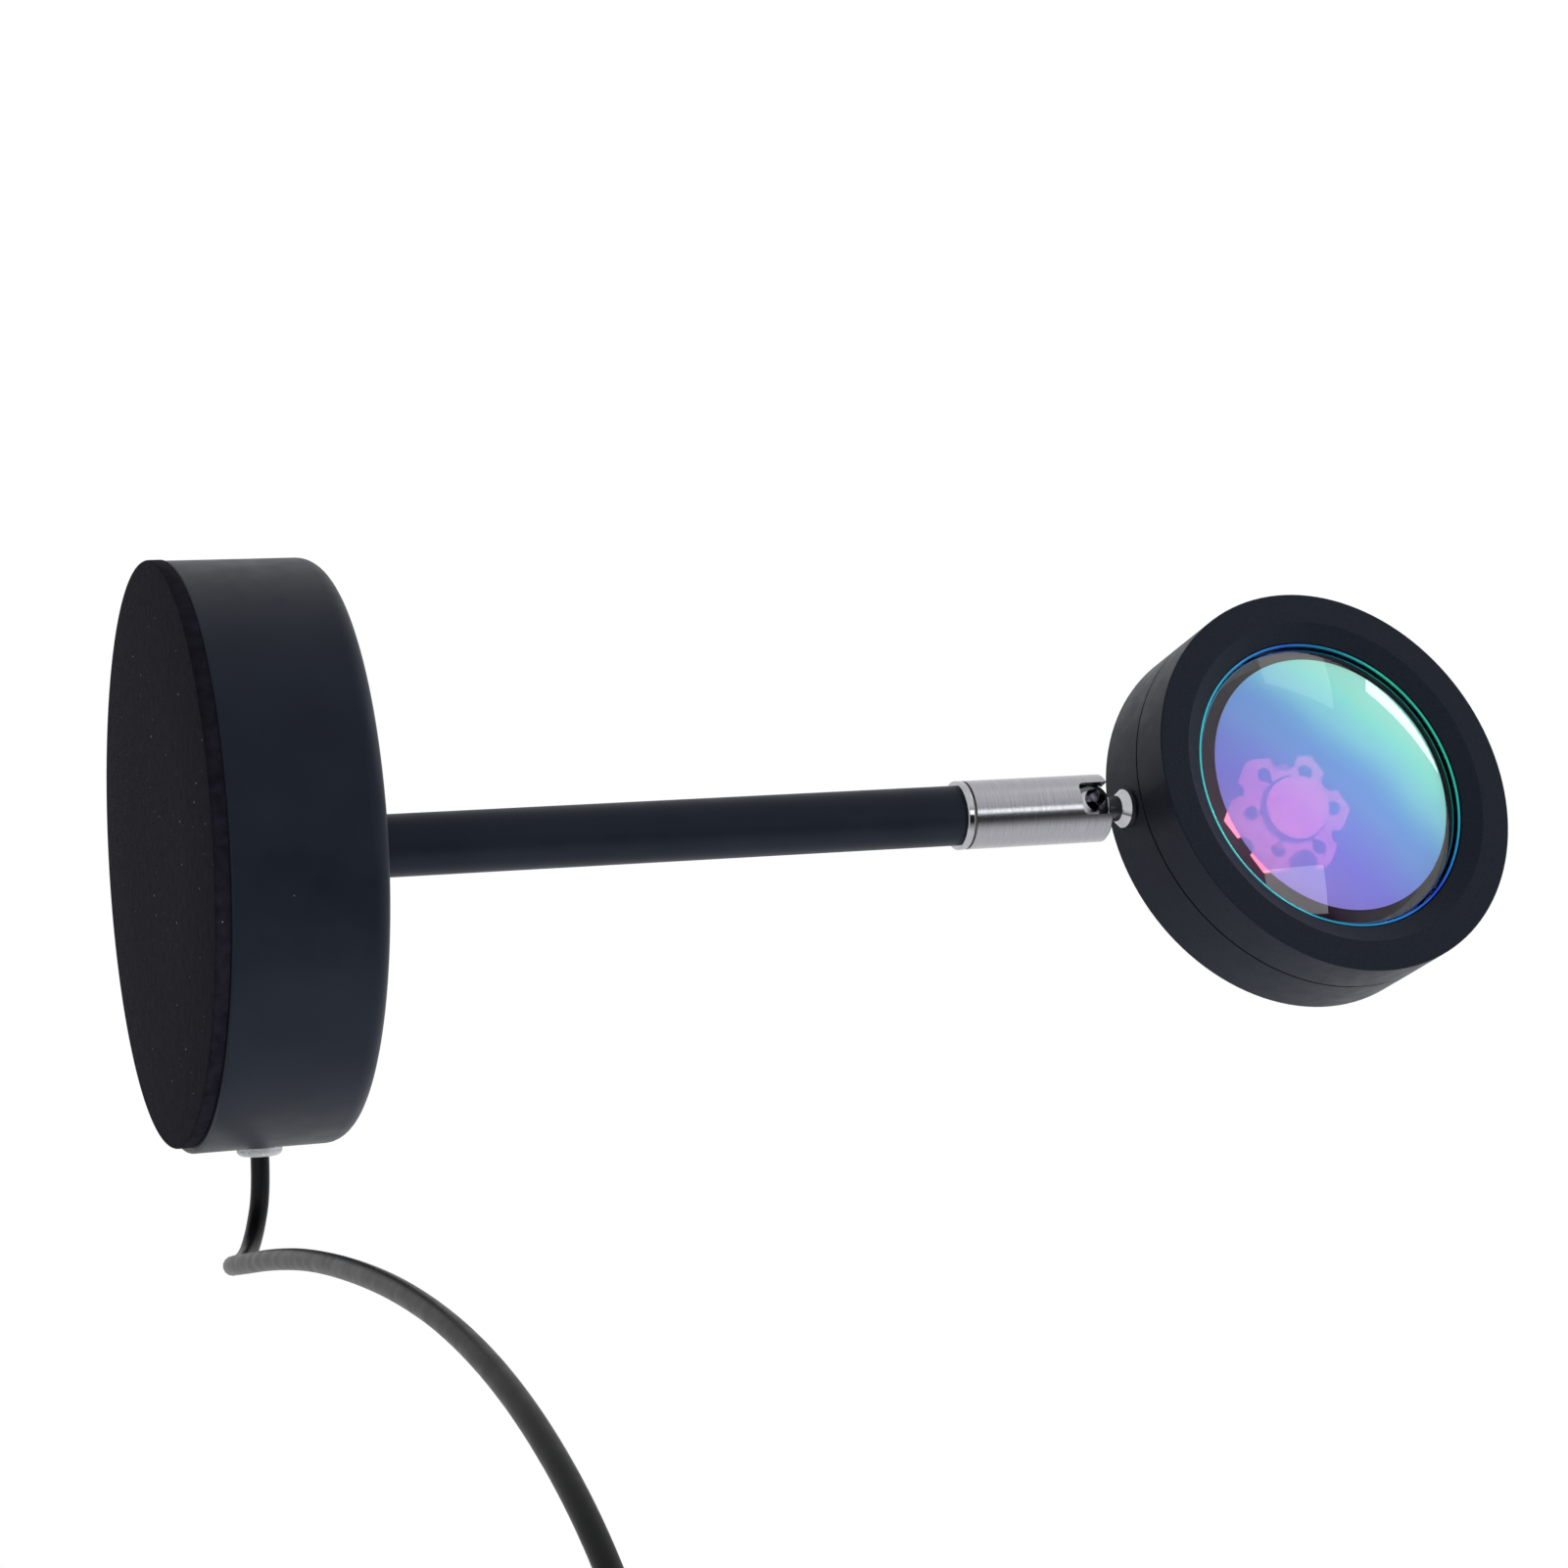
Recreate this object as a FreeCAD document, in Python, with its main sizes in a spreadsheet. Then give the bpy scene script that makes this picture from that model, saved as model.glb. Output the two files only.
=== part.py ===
import FreeCAD, Part
import math
import os

import Sketcher
from FreeCAD import Placement, Rotation, Vector

# A small table lamp: a weighted round base, a tube stem, a slotted ball swivel and a
# flat round head whose coated lens throws a coloured disc of light on a wall.
# Millimetres, +Z up, origin under the middle of the base on the table.

doc = FreeCAD.newDocument("sunset_lamp")
dims = doc.addObject("Spreadsheet::Sheet", "Dims")

DIMENSIONS = {
    # base
    "base_dia": 100.0,
    "base_height": 28.5,
    "base_round": 3.2,
    "rim_round": 0.5,
    "shell_wall": 1.6,
    "shell_top": 2.0,
    "pad_inset": 0.4,
    "pad_thick": 2.5,
    "pad_shift": -0.6,
    "pad_edge": 0.4,
    "plate_thick": 2.0,
    "plate_gap": 0.3,
    "weight_thick": 7.0,
    "weight_gap": 0.6,
    "weight_bore": 14.0,
    "post_circle": 68.0,
    "post_dia": 8.0,
    "post_bore_depth": 9.0,
    "screw_dia": 4.0,
    "screw_head": 7.1,
    "screw_grip": 7.0,
    "hole_gap": 0.15,
    # cord and its way into the base
    "cord_dia": 3.2,
    "exit_height": 15.5,
    "bush_flange": 7.8,
    "bush_lip": 1.6,
    "bush_neck": 5.2,
    "bush_inner_lip": 1.4,
    "bush_gap": 0.05,
    "stop_dia": 6.4,
    "stop_width": 3.0,
    "lead_bend": 6.5,
    # stem
    "stem_dia": 11.0,
    "stem_bore": 8.0,
    "stem_length": 117.7,
    "nipple_bore": 5.2,
    "nipple_into_stem": 11.5,
    "nipple_below": 6.0,
    "thread_gap": 0.02,
    "washer_dia": 16.0,
    "washer_thick": 1.0,
    "nut_flats": 13.0,
    "nut_thick": 4.5,
    # swivel at the stem's top
    "ring_dia": 12.7,
    "ring_thick": 1.5,
    "ring_round": 0.35,
    "spigot_length": 12.0,
    "wire_bore": 4.2,
    "pivot_dia": 7.6,
    "running_gap": 0.06,
    "glide_dia": 12.0,
    "glide_thick": 0.3,
    "float_gap": 0.05,
    "lock_side_gap": 0.2,
    "lock_thick": 2.25,
    # barrel with the ball socket
    "barrel_dia": 12.6,
    "barrel_length": 27.25,
    "barrel_edge": 0.25,
    "pivot_length": 13.0,
    "ball_dia": 10.0,
    "ball_gap": 0.1,
    "ball_below_end": 3.1,
    "slot_width": 6.3,
    "slot_corner": 1.2,
    "slot_side": 23.2,
    "spring_bore": 5.4,
    "spring_thick": 0.5,
    "spring_rise": 0.7,
    "seat_gap": 0.05,
    "seat_height": 3.2,
    # ball stud
    "lean_back": 6.3,
    "neck_dia": 4.8,
    "neck_reach": 9.5,
    "flange_dia": 7.2,
    "flange_thick": 1.4,
    "flange_cone": 1.4,
    "stud_dia": 4.0,
    "stud_bore": 2.8,
    "eye_dia": 4.4,
    "stud_washer_dia": 7.2,
    "stud_washer_thick": 0.5,
    "stud_nut_flats": 6.0,
    "stud_nut_thick": 2.4,
    "stud_end": 0.5,
    # head
    "head_dia": 76.2,
    "head_depth": 21.6,
    "bezel_depth": 9.1,
    "seam_width": 0.4,
    "seam_depth": 1.1,
    "stud_setback": 14.4,
    "back_wall": 3.0,
    "side_wall": 4.1,
    "head_edge": 0.5,
    "front_edge": 0.3,
    "spot_dia": 8.6,
    "spot_depth": 0.25,
    "spigot_gap": 0.1,
    "spigot_depth": 1.0,
    "ring_face": 5.8,
    "window_wall": 9.2,
    "funnel_depth": 2.0,
    "lip_thick": 0.9,
    "lens_seat_wall": 6.9,
    "lens_gap": 0.2,
    "gasket_thick": 0.5,
    "lens_edge": 4.0,
    "lens_radius": 85.0,
    "lens_rise": 1.7,
    "dome_gap": 0.2,
    "retainer_thick": 1.6,
    "retainer_width": 3.0,
    "filter_thick": 1.1,
    "shroud_wall": 0.8,
    "shroud_gap": 0.6,
    "shroud_step": 4.1,
    "shroud_foot": 24.0,
    "pad_disc": 19.2,
    "pad_disc_thick": 0.4,
    "board_flats": 19.0,
    "board_thick": 1.6,
    "board_notch": 3.4,
    "chip_dia": 11.6,
    "chip_thick": 0.9,
    "bulb_dia": 9.2,
    "board_screw_dia": 3.0,
    "board_screw_head": 4.8,
    "board_screw_head_thick": 1.4,
    "board_screw_bite": 1.8,
    "driver_length": 15.0,
    "driver_width": 8.0,
    "driver_thick": 1.2,
    "driver_gap": 3.8,
    "wire_dia": 1.0,
    "wire_spacing": 1.35,
    # coil of stored cord
    "coil_outer": 26.0,
    "coil_gap": 0.5,
    "layer_gap": 0.45,
    "coil_lead_in": 27.2,
    "tie_thick": 0.6,
    "tie_width": 6.0,
    "tie_gap": 0.1,
    # inline switch
    "switch_length": 52.2,
    "switch_width": 19.0,
    "switch_split": 5.4,
    "switch_wall": 1.6,
    "switch_round": 2.4,
    "button_length": 13.0,
    "button_width": 8.0,
    "button_rise": 1.5,
    "button_travel": 1.2,
    "button_gap": 0.2,
    "button_skirt": 1.0,
    # plug
    "plug_height": 4.3,
    "relief_length": 9.0,
    "relief_dia": 6.4,
    "relief_tip": 4.6,
    "grip_length": 25.0,
    "grip_width": 16.0,
    "grip_round": 2.2,
    "plug_length": 12.0,
    "plug_width": 12.0,
    "plug_thick": 4.5,
    "plug_skin": 0.3,
    "tongue_thick": 1.8,
    "tongue_gap": 0.25,
}

for row, (alias, number) in enumerate(DIMENSIONS.items(), start=1):
    dims.set(f"A{row}", alias)
    dims.set(f"B{row}", str(number))
    dims.setAlias(f"B{row}", alias)
doc.recompute()

# Levels and radii that several pieces share, worked out once in the sheet.
DERIVED = {
    "shell_radius": "base_dia / 2",
    "pad_dia": "base_dia - 2 * pad_inset",
    "shell_inside": "shell_radius - shell_wall",
    "shell_ceiling": "base_height - shell_top",
    "plate_top": "pad_thick + plate_thick",
    "weight_top": "plate_top + weight_thick",
    "cord_radius": "cord_dia / 2",
    "exit_face": "shell_radius + bush_lip",
    "stem_end": "base_height + stem_length",
    "ring_top": "stem_end + ring_thick",
    "barrel_foot": "ring_top + glide_thick + float_gap",
    "barrel_end": "barrel_foot + barrel_length",
    "ball_level": "barrel_end - ball_below_end",
    "ball_radius": "ball_dia / 2",
    "shoulder": "barrel_foot + pivot_length",
    "lock_foot": "shoulder + float_gap",
    "lock_top": "lock_foot + lock_thick",
    "socket_radius": "ball_radius + ball_gap",
    "lock_dia": "2 * (socket_radius - lock_side_gap)",
    "spring_foot": "lock_top + 0.15",
    "spring_step": "spring_rise + spring_thick",
    "seat_foot": "spring_foot + 2 * spring_step",
    "seat_radius": "socket_radius - 0.1",
    "slot_foot": "ball_level - neck_dia / 2 - 0.6",
    "head_radius": "head_dia / 2",
    "flange_face": "neck_reach + spot_depth - float_gap",
    "inner_seat": "neck_reach + side_wall - spot_depth",
    "head_floor": "back_wall - head_depth",
    "housing_front": "-bezel_depth - seam_width",
    "housing_inside": "head_radius - side_wall",
    "spigot_foot": "housing_front - spigot_depth",
    "window_radius": "head_radius - window_wall",
    "lens_seat_radius": "head_radius - lens_seat_wall",
    "lip_back": "-funnel_depth - lip_thick",
    "lens_front": "lip_back - gasket_thick",
    "lens_back": "lens_front - lens_edge",
    "retainer_back": "lens_back - retainer_thick",
    "filter_back": "retainer_back - filter_thick",
    "lens_rim_radius": "lens_seat_radius - lens_gap",
    "board_back": "head_floor + pad_disc_thick",
    "board_front": "board_back + board_thick",
    "coil_pitch": "cord_dia + coil_gap",
    "coil_low": "cord_radius + tie_gap + tie_thick",
    "coil_high": "coil_low + cord_dia + layer_gap",
    "switch_top": "2 * coil_high",
}
first_row = len(DIMENSIONS) + 2
for row, (alias, formula) in enumerate(DERIVED.items(), start=first_row):
    dims.set(f"A{row}", alias)
    dims.set(f"B{row}", "=" + formula)
    dims.setAlias(f"B{row}", alias)
doc.recompute()

WORDS = set(DIMENSIONS) | set(DERIVED)


def size(name):
    """The number in a cell of the sheet."""
    return float(getattr(dims, name))


def in_sheet(formula):
    """The formula with each word of the sheet written out as a reference."""
    text = ""
    word = ""
    for letter in formula + " ":
        if letter.isalnum() or letter == "_":
            word += letter
            continue
        text += f"Dims.{word}" if word in WORDS else word
        text += letter
        word = ""
    return text.strip()


def number(formula):
    """The value of a formula of sheet words."""
    return float(dims.evalExpression(in_sheet(formula)))


def bind(thing, **formulas):
    """Bind properties of an object to formulas of sheet words."""
    for key, formula in formulas.items():
        thing.setExpression(key, in_sheet(formula))


# ---- sketches and bodies -------------------------------------------------------------


def origin_plane(body, role):
    """One of a body's own origin planes."""
    return next(part for part in body.Origin.OriginFeatures if part.Role == role)


def new_body(name):
    """An empty body named as its node."""
    body = doc.addObject("PartDesign::Body", name)
    body.Label = name
    return body


def new_sketch(body, name, role, height=None):
    """An empty sketch on an origin plane, lifted along its normal where a height is given."""
    sketch = body.newObject("Sketcher::SketchObject", name)
    sketch.AttachmentSupport = (origin_plane(body, role), [""])
    sketch.MapMode = "FlatFace"
    if height is not None:
        sketch.setExpression("AttachmentOffset.Base.z", in_sheet(height))
    return sketch


def add_outline(sketch, corners):
    """A closed outline whose corners are pairs of formulas, each held to its formulas."""
    points = [Vector(number(across), number(up), 0) for across, up in corners]
    first = sketch.GeometryCount
    count = len(points)
    for index, point in enumerate(points):
        sketch.addGeometry(Part.LineSegment(point, points[(index + 1) % count]), False)
    for index in range(count):
        follower = first + (index + 1) % count
        sketch.addConstraint(Sketcher.Constraint("Coincident", first + index, 2, follower, 1))
    for index, (across, up) in enumerate(corners):
        for kind, formula in (("DistanceX", across), ("DistanceY", up)):
            held = Sketcher.Constraint(kind, -1, 1, first + index, 1, number(formula))
            place = sketch.addConstraint(held)
            sketch.setExpression(f"Constraints[{place}]", in_sheet(formula))


def add_circle(sketch, across, up, diameter):
    """A circle held to formulas for its centre and diameter."""
    centre = Vector(number(across), number(up), 0)
    circle = sketch.addGeometry(Part.Circle(centre, Vector(0, 0, 1), number(diameter) / 2), False)
    rules = (
        (Sketcher.Constraint("DistanceX", -1, 1, circle, 3, centre.x), across),
        (Sketcher.Constraint("DistanceY", -1, 1, circle, 3, centre.y), up),
        (Sketcher.Constraint("Diameter", circle, number(diameter)), diameter),
    )
    for rule, formula in rules:
        place = sketch.addConstraint(rule)
        sketch.setExpression(f"Constraints[{place}]", in_sheet(formula))


def turned(name, corners):
    """A body turned about its Z axis from an outline of (radius, height) corners."""
    body = new_body(name)
    sketch = new_sketch(body, name + "_outline", "XZ_Plane")
    add_outline(sketch, corners)
    turn = body.newObject("PartDesign::Revolution", name + "_turn")
    turn.Profile = sketch
    turn.ReferenceAxis = (sketch, ["V_Axis"])
    turn.Angle = 360
    doc.recompute()
    return body


def tube(name, inner, outer, foot, top):
    """A turned ring from its inner and outer radius and its two levels."""
    return turned(name, [(inner, foot), (outer, foot), (outer, top), (inner, top)])


def padded(name, corners, foot, thickness):
    """A body raised from an outline in the XY plane."""
    body = new_body(name)
    sketch = new_sketch(body, name + "_outline", "XY_Plane", foot)
    add_outline(sketch, corners)
    pad = body.newObject("PartDesign::Pad", name + "_pad")
    pad.Profile = sketch
    bind(pad, Length=thickness)
    doc.recompute()
    return body


def pocket(body, sketch, length, reverse=False):
    """A pocket that has to take material away."""
    before = body.Shape.Volume
    cut = body.newObject("PartDesign::Pocket", sketch.Name + "_pocket")
    cut.Profile = sketch
    cut.Reversed = reverse
    bind(cut, Length=length)
    doc.recompute()
    if body.Shape.Volume > before - 1e-6:
        raise RuntimeError(f"{cut.Name} cuts nothing")
    return cut


def repeat_round(body, feature, count):
    """The feature again, evenly spaced about the body's Z axis."""
    pattern = body.newObject("PartDesign::PolarPattern", feature.Name + "_round")
    pattern.Originals = [feature]
    axis = next(part for part in body.Origin.OriginFeatures if part.Role == "Z_Axis")
    pattern.Axis = (axis, [""])
    pattern.Angle = 360
    pattern.Occurrences = count
    body.Tip = pattern
    doc.recompute()
    return pattern


def circle_edges(shape, radius, level):
    """The names of a shape's round edges of one radius at one level."""
    found = []
    for index, edge in enumerate(shape.Edges, start=1):
        curve = edge.Curve
        if not isinstance(curve, Part.Circle):
            continue
        if abs(curve.Radius - radius) < 1e-4 and abs(edge.BoundBox.Center.z - level) < 1e-4:
            found.append(f"Edge{index}")
    return found


def dress(body, kind, edges, width):
    """A fillet or chamfer on named edges of a body's last feature."""
    if not edges:
        raise RuntimeError(f"{body.Name} has no edge for its {kind}")
    base = body.Tip
    treatment = body.newObject(f"PartDesign::{kind}", f"{body.Name}_{kind.lower()}_{len(body.Group)}")
    treatment.Base = (base, edges)
    bind(treatment, **{"Radius" if kind == "Fillet" else "Size": width})
    body.Tip = treatment
    doc.recompute()


def edge_at(body, kind, radius, level, width):
    """A fillet or chamfer on the round edge of a radius and level given as formulas."""
    dress(body, kind, circle_edges(body.Shape, number(radius), number(level)), width)


def hexagon(flats):
    """The corners of a hexagon of a given width across its flats."""
    reach = f"{flats} / 2 / cos(30 deg)"
    return [(f"{reach} * cos({turn} deg)", f"{reach} * sin({turn} deg)") for turn in range(0, 360, 60)]


def cylinder(name, radius, foot, height):
    """An upright cylinder about Z as a primitive."""
    solid = doc.addObject("Part::Cylinder", name)
    bind(solid, Radius=radius, Height=height)
    solid.setExpression("Placement.Base.z", in_sheet(foot))
    return solid


def cut(name, base, tool):
    """One object with another taken away."""
    result = doc.addObject("Part::Cut", name)
    result.Label = name
    result.Base = base
    result.Tool = tool
    doc.recompute()
    return result


def fuse(name, pieces):
    """Objects joined to one solid."""
    result = doc.addObject("Part::MultiFuse", name)
    result.Label = name
    result.Shapes = pieces
    doc.recompute()
    return result


def compound(name, pieces):
    """Separate like solids kept as one group."""
    result = doc.addObject("Part::Compound", name)
    result.Label = name
    result.Links = pieces
    doc.recompute()
    return result


def feature(name, shape):
    """A piece whose shape comes from the functions below."""
    result = doc.addObject("Part::Feature", name)
    result.Label = name
    result.Shape = shape
    return result


# ---- tubes along a route -------------------------------------------------------------

BEND_SHARE = 0.45


def smooth_wire(points, label=None):
    """Straight runs joined by tangent arcs, each as large as its two runs allow."""
    edges = []
    start = points[0]
    radii = []
    for before, corner, after in zip(points, points[1:], points[2:]):
        incoming = before - corner
        outgoing = after - corner
        reach = BEND_SHARE * min(incoming.Length, outgoing.Length)
        into = corner + incoming.normalize() * reach
        out = corner + outgoing.normalize() * reach
        half_turn = (math.pi - incoming.getAngle(outgoing)) / 2
        radius = reach / math.tan(half_turn)
        radii.append(radius)
        middle_way = (incoming + outgoing).normalize()
        middle = corner + middle_way * (radius / math.cos(half_turn) - radius)
        edges.append(Part.LineSegment(start, into).toShape())
        edges.append(Part.Arc(into, middle, out).toShape())
        start = out
    edges.append(Part.LineSegment(start, points[-1]).toShape())
    if label:
        print(label, "bend radii", " ".join(f"{radius:.1f}" for radius in radii))
    return Part.Wire(edges)


def tube_along(wire, radius, label=None):
    """A round tube along a wire, its volume compared with section times length."""
    start = wire.Edges[0]
    way = start.tangentAt(start.FirstParameter)
    ring = Part.Circle(start.valueAt(start.FirstParameter), way, radius)
    solid = wire.makePipeShell([Part.Wire([ring.toShape()])], True, False)
    ideal = math.pi * radius ** 2 * wire.Length
    if abs(solid.Volume / ideal - 1) > 0.01:
        raise RuntimeError(f"tube volume {solid.Volume:.1f} for {ideal:.1f}")
    if label:
        print(label, f"length {wire.Length:.1f} mm, volume {solid.Volume:.1f} mm3")
    return solid


# ---- base ----------------------------------------------------------------------------


def make_shell():
    """The drawn cover: a round cup, open below, with the stem's hole and the cord's hole."""
    hole = "stem_bore / 2 + hole_gap"
    shell = turned("base_shell", [
        (hole, "shell_ceiling"), ("shell_inside", "shell_ceiling"), ("shell_inside", "pad_thick"),
        ("shell_radius", "pad_thick"), ("shell_radius", "base_height"), (hole, "base_height"),
    ])
    edge_at(shell, "Fillet", "shell_radius", "base_height", "base_round")
    edge_at(shell, "Fillet", "shell_inside", "shell_ceiling", "base_round - shell_wall")
    edge_at(shell, "Fillet", "shell_radius", "pad_thick", "rim_round")
    side = new_sketch(shell, "cord_hole", "YZ_Plane")
    add_circle(side, "0", "exit_height", "bush_neck + 2 * hole_gap")
    pocket(shell, side, "shell_radius + 1", reverse=True)
    return shell


def screw_circle(body, name, diameter, through):
    """Three round holes on the posts' circle, clear of the cord's side."""
    sketch = new_sketch(body, name, "XY_Plane")
    add_circle(sketch, "-post_circle / 2", "0", diameter)
    hole = pocket(body, sketch, through, reverse=True)
    return repeat_round(body, hole, 3)


def make_weight():
    """The iron disc that keeps the lamp upright, on the plate."""
    rim = "shell_inside - weight_gap"
    weight = tube("base_weight", "weight_bore / 2", rim, "plate_top", "weight_top")
    screw_circle(weight, "weight_hole", "screw_dia + 2 * hole_gap", "weight_top + 1")
    return weight


def make_plate():
    """The steel closing plate, flush with the shell's rim, countersunk from below."""
    plate = tube("base_plate", "weight_bore / 2", "shell_inside - plate_gap", "pad_thick", "plate_top")
    screw_circle(plate, "plate_hole", "screw_dia + 2 * hole_gap", "plate_top + 1")
    rims = circle_edges(plate.Shape, number("screw_dia / 2 + hole_gap"), size("pad_thick"))
    dress(plate, "Chamfer", rims, "(screw_head - screw_dia) / 2 + hole_gap / 2")
    return plate


POST_TURNS = (180, 300, 60)


def at_post(turn):
    """One of the three screw positions on the posts' circle."""
    reach = Vector(size("post_circle") / 2, 0, 0)
    return Placement(Rotation(Vector(0, 0, 1), turn).multVec(reach), Rotation())


def make_posts():
    """Three threaded posts welded under the shell's top, down to the weight."""
    posts = []
    for index, turn in enumerate(POST_TURNS):
        body = cylinder(f"post_body_{index}", "post_dia / 2", "weight_top", "shell_ceiling - weight_top")
        bore = cylinder(f"post_bore_{index}", "screw_dia / 2 + thread_gap", "weight_top", "post_bore_depth")
        post = cut(f"post_{index}", body, bore)
        post.Placement = at_post(turn)
        posts.append(post)
    return compound("threaded_posts", posts)


def make_base_screws():
    """Three countersunk screws through the plate and the weight into the posts."""
    screws = []
    cone_height = "(screw_head - screw_dia) / 2"
    head_foot = "pad_thick + 0.1"
    for index, turn in enumerate(POST_TURNS):
        head = doc.addObject("Part::Cone", f"base_screw_head_{index}")
        bind(head, Radius1="screw_head / 2", Radius2="screw_dia / 2", Height=cone_height)
        head.setExpression("Placement.Base.z", in_sheet(head_foot))
        shank_foot = f"{head_foot} + {cone_height} - 0.2"
        shank_length = f"weight_top + screw_grip - ({shank_foot})"
        shank = cylinder(f"base_screw_shank_{index}", "screw_dia / 2", shank_foot, shank_length)
        screw = fuse(f"base_screw_{index}", [head, shank])
        screw.Placement = at_post(turn)
        screws.append(screw)
    return compound("base_screws", screws)


def make_pad():
    """The foam disc under the base, stuck on a little off the middle."""
    pad = new_body("foam_pad")
    sketch = new_sketch(pad, "pad_circle", "XY_Plane")
    add_circle(sketch, "0", "0", "pad_dia")
    raised = pad.newObject("PartDesign::Pad", "pad_raise")
    raised.Profile = sketch
    bind(raised, Length="pad_thick")
    doc.recompute()
    edge_at(pad, "Chamfer", "pad_dia / 2", "0", "pad_edge")
    pad.Placement = Placement(Vector(size("pad_shift"), 0, 0), Rotation())
    return pad


ALONG_X = Rotation(Vector(0, 1, 0), 90)


def make_bush():
    """The pale bush in the cord's hole, turned about the cord and laid along X."""
    bore = "cord_radius + bush_gap"
    neck = "bush_neck / 2"
    lip = "bush_flange / 2"
    inner_face = "-shell_wall - 0.3"
    bush = turned("cord_bush", [
        (bore, f"{inner_face} - bush_inner_lip"), (f"{lip} - 0.3", f"{inner_face} - bush_inner_lip"),
        (f"{lip} - 0.3", inner_face), (neck, inner_face), (neck, "0.02"), (lip, "0.02"),
        (lip, "bush_lip"), (bore, "bush_lip"),
    ])
    edge_at(bush, "Fillet", lip, "bush_lip", "0.7")
    bush.Placement = Placement(Vector(size("shell_radius"), 0, size("exit_height")), ALONG_X)
    return bush


def make_lead_stop():
    """The nylon collar that stops the lead from being pulled out through the bush."""
    stop = tube("lead_stop", "cord_radius + 0.02", "stop_dia / 2", "-stop_width", "0")
    inside = size("shell_inside") - size("bush_inner_lip") - 0.5
    stop.Placement = Placement(Vector(inside, 0, size("exit_height")), ALONG_X)
    return stop


def make_inner_lead():
    """The cord inside the lamp: in through the bush, then up the stem to the swivel."""
    outside = size("exit_face")
    level = size("exit_height")
    bend = size("lead_bend")
    start = Vector(outside, 0, level)
    turn_in = Vector(bend, 0, level)
    turn_up = Vector(0, 0, level + bend)
    slant = bend * (1 - math.sqrt(0.5))
    middle = Vector(slant, 0, level + slant)
    top = Vector(0, 0, size("lock_top") - 1)
    wire = Part.Wire([
        Part.LineSegment(start, turn_in).toShape(),
        Part.Arc(turn_in, middle, turn_up).toShape(),
        Part.LineSegment(turn_up, top).toShape(),
    ])
    return feature("inner_lead", tube_along(wire, size("cord_radius"), "inner lead"))


# ---- stem and swivel -----------------------------------------------------------------


def make_stem():
    """The stem tube, its hollow threaded nipple and the nut that clamps it to the shell."""
    bore = "stem_bore / 2"
    stem = tube("stem_tube", bore, "stem_dia / 2", "base_height", "stem_end")
    nipple_foot = "shell_ceiling - nipple_below"
    nipple = tube("stem_nipple", "nipple_bore / 2", f"{bore} - thread_gap", nipple_foot,
                  "base_height + nipple_into_stem")
    washer_foot = "shell_ceiling - washer_thick"
    washer = tube("nipple_washer", f"{bore} + hole_gap", "washer_dia / 2", washer_foot, "shell_ceiling")
    nut = padded("nipple_nut", hexagon("nut_flats"), f"{washer_foot} - nut_thick", "nut_thick")
    sketch = new_sketch(nut, "nipple_nut_bore", "XY_Plane")
    add_circle(sketch, "0", "0", "stem_bore")
    pocket(nut, sketch, "base_height", reverse=True)
    return [stem, nipple, washer, nut]


def make_swivel():
    """The fixed half of the swivel: a hollow pivot with its bright ring, glide and lock ring."""
    bore = "wire_bore / 2"
    spigot = "stem_bore / 2 - thread_gap"
    pivot = "pivot_dia / 2"
    post = turned("swivel_post", [
        (bore, "stem_end - spigot_length"), (spigot, "stem_end - spigot_length"),
        (spigot, "stem_end"), ("ring_dia / 2", "stem_end"), ("ring_dia / 2", "ring_top"),
        (pivot, "ring_top"), (pivot, "lock_top + 0.1"), (bore, "lock_top + 0.1"),
    ])
    edge_at(post, "Fillet", "ring_dia / 2", "stem_end", "ring_round")
    edge_at(post, "Fillet", "ring_dia / 2", "ring_top", "ring_round")
    glide = tube("swivel_glide", f"{pivot} + thread_gap", "glide_dia / 2", "ring_top",
                 "ring_top + glide_thick")
    lock = tube("swivel_lock_ring", f"{pivot} + thread_gap", "lock_dia / 2", "lock_foot", "lock_top")
    return [post, glide, lock]


def make_barrel():
    """The brushed barrel that turns on the pivot and holds the ball behind its rolled end."""
    turned_blank = turned("barrel_blank", [
        ("pivot_dia / 2 + running_gap", "barrel_foot"), ("barrel_dia / 2", "barrel_foot"),
        ("barrel_dia / 2", "barrel_end"), ("0", "barrel_end"), ("0", "ball_level"),
        ("socket_radius", "ball_level"), ("socket_radius", "shoulder"),
        ("pivot_dia / 2 + running_gap", "shoulder"),
    ])
    edge_at(turned_blank, "Chamfer", "barrel_dia / 2", "barrel_end", "barrel_edge")
    slot = new_sketch(turned_blank, "barrel_slot", "YZ_Plane")
    half = "slot_width / 2"
    above = "barrel_end + 2"
    add_outline(slot, [(f"-{half}", "slot_foot"), (half, "slot_foot"), (half, above), (f"-{half}", above)])
    pocket(turned_blank, slot, "barrel_dia", reverse=True)
    corners = []
    for index, edge in enumerate(turned_blank.Shape.Edges, start=1):
        extent = edge.BoundBox
        level = abs(extent.Center.z - size("slot_foot")) < 1e-4 and extent.ZLength < 1e-4
        if level and abs(abs(extent.Center.y) - number(half)) < 1e-4 and extent.YLength < 1e-4:
            corners.append(f"Edge{index}")
    dress(turned_blank, "Fillet", corners, "slot_corner")
    socket = doc.addObject("Part::Sphere", "barrel_socket")
    bind(socket, Radius="socket_radius")
    socket.setExpression("Placement.Base.z", in_sheet("ball_level"))
    barrel = cut("barrel", turned_blank, socket)
    barrel.Placement = Placement(Vector(), slot_turn())
    return barrel


def slot_turn():
    """The turn about Z that brings local +X to the side the slot opens to."""
    return Rotation(Vector(0, 0, 1), -90 - size("slot_side"))


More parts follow.
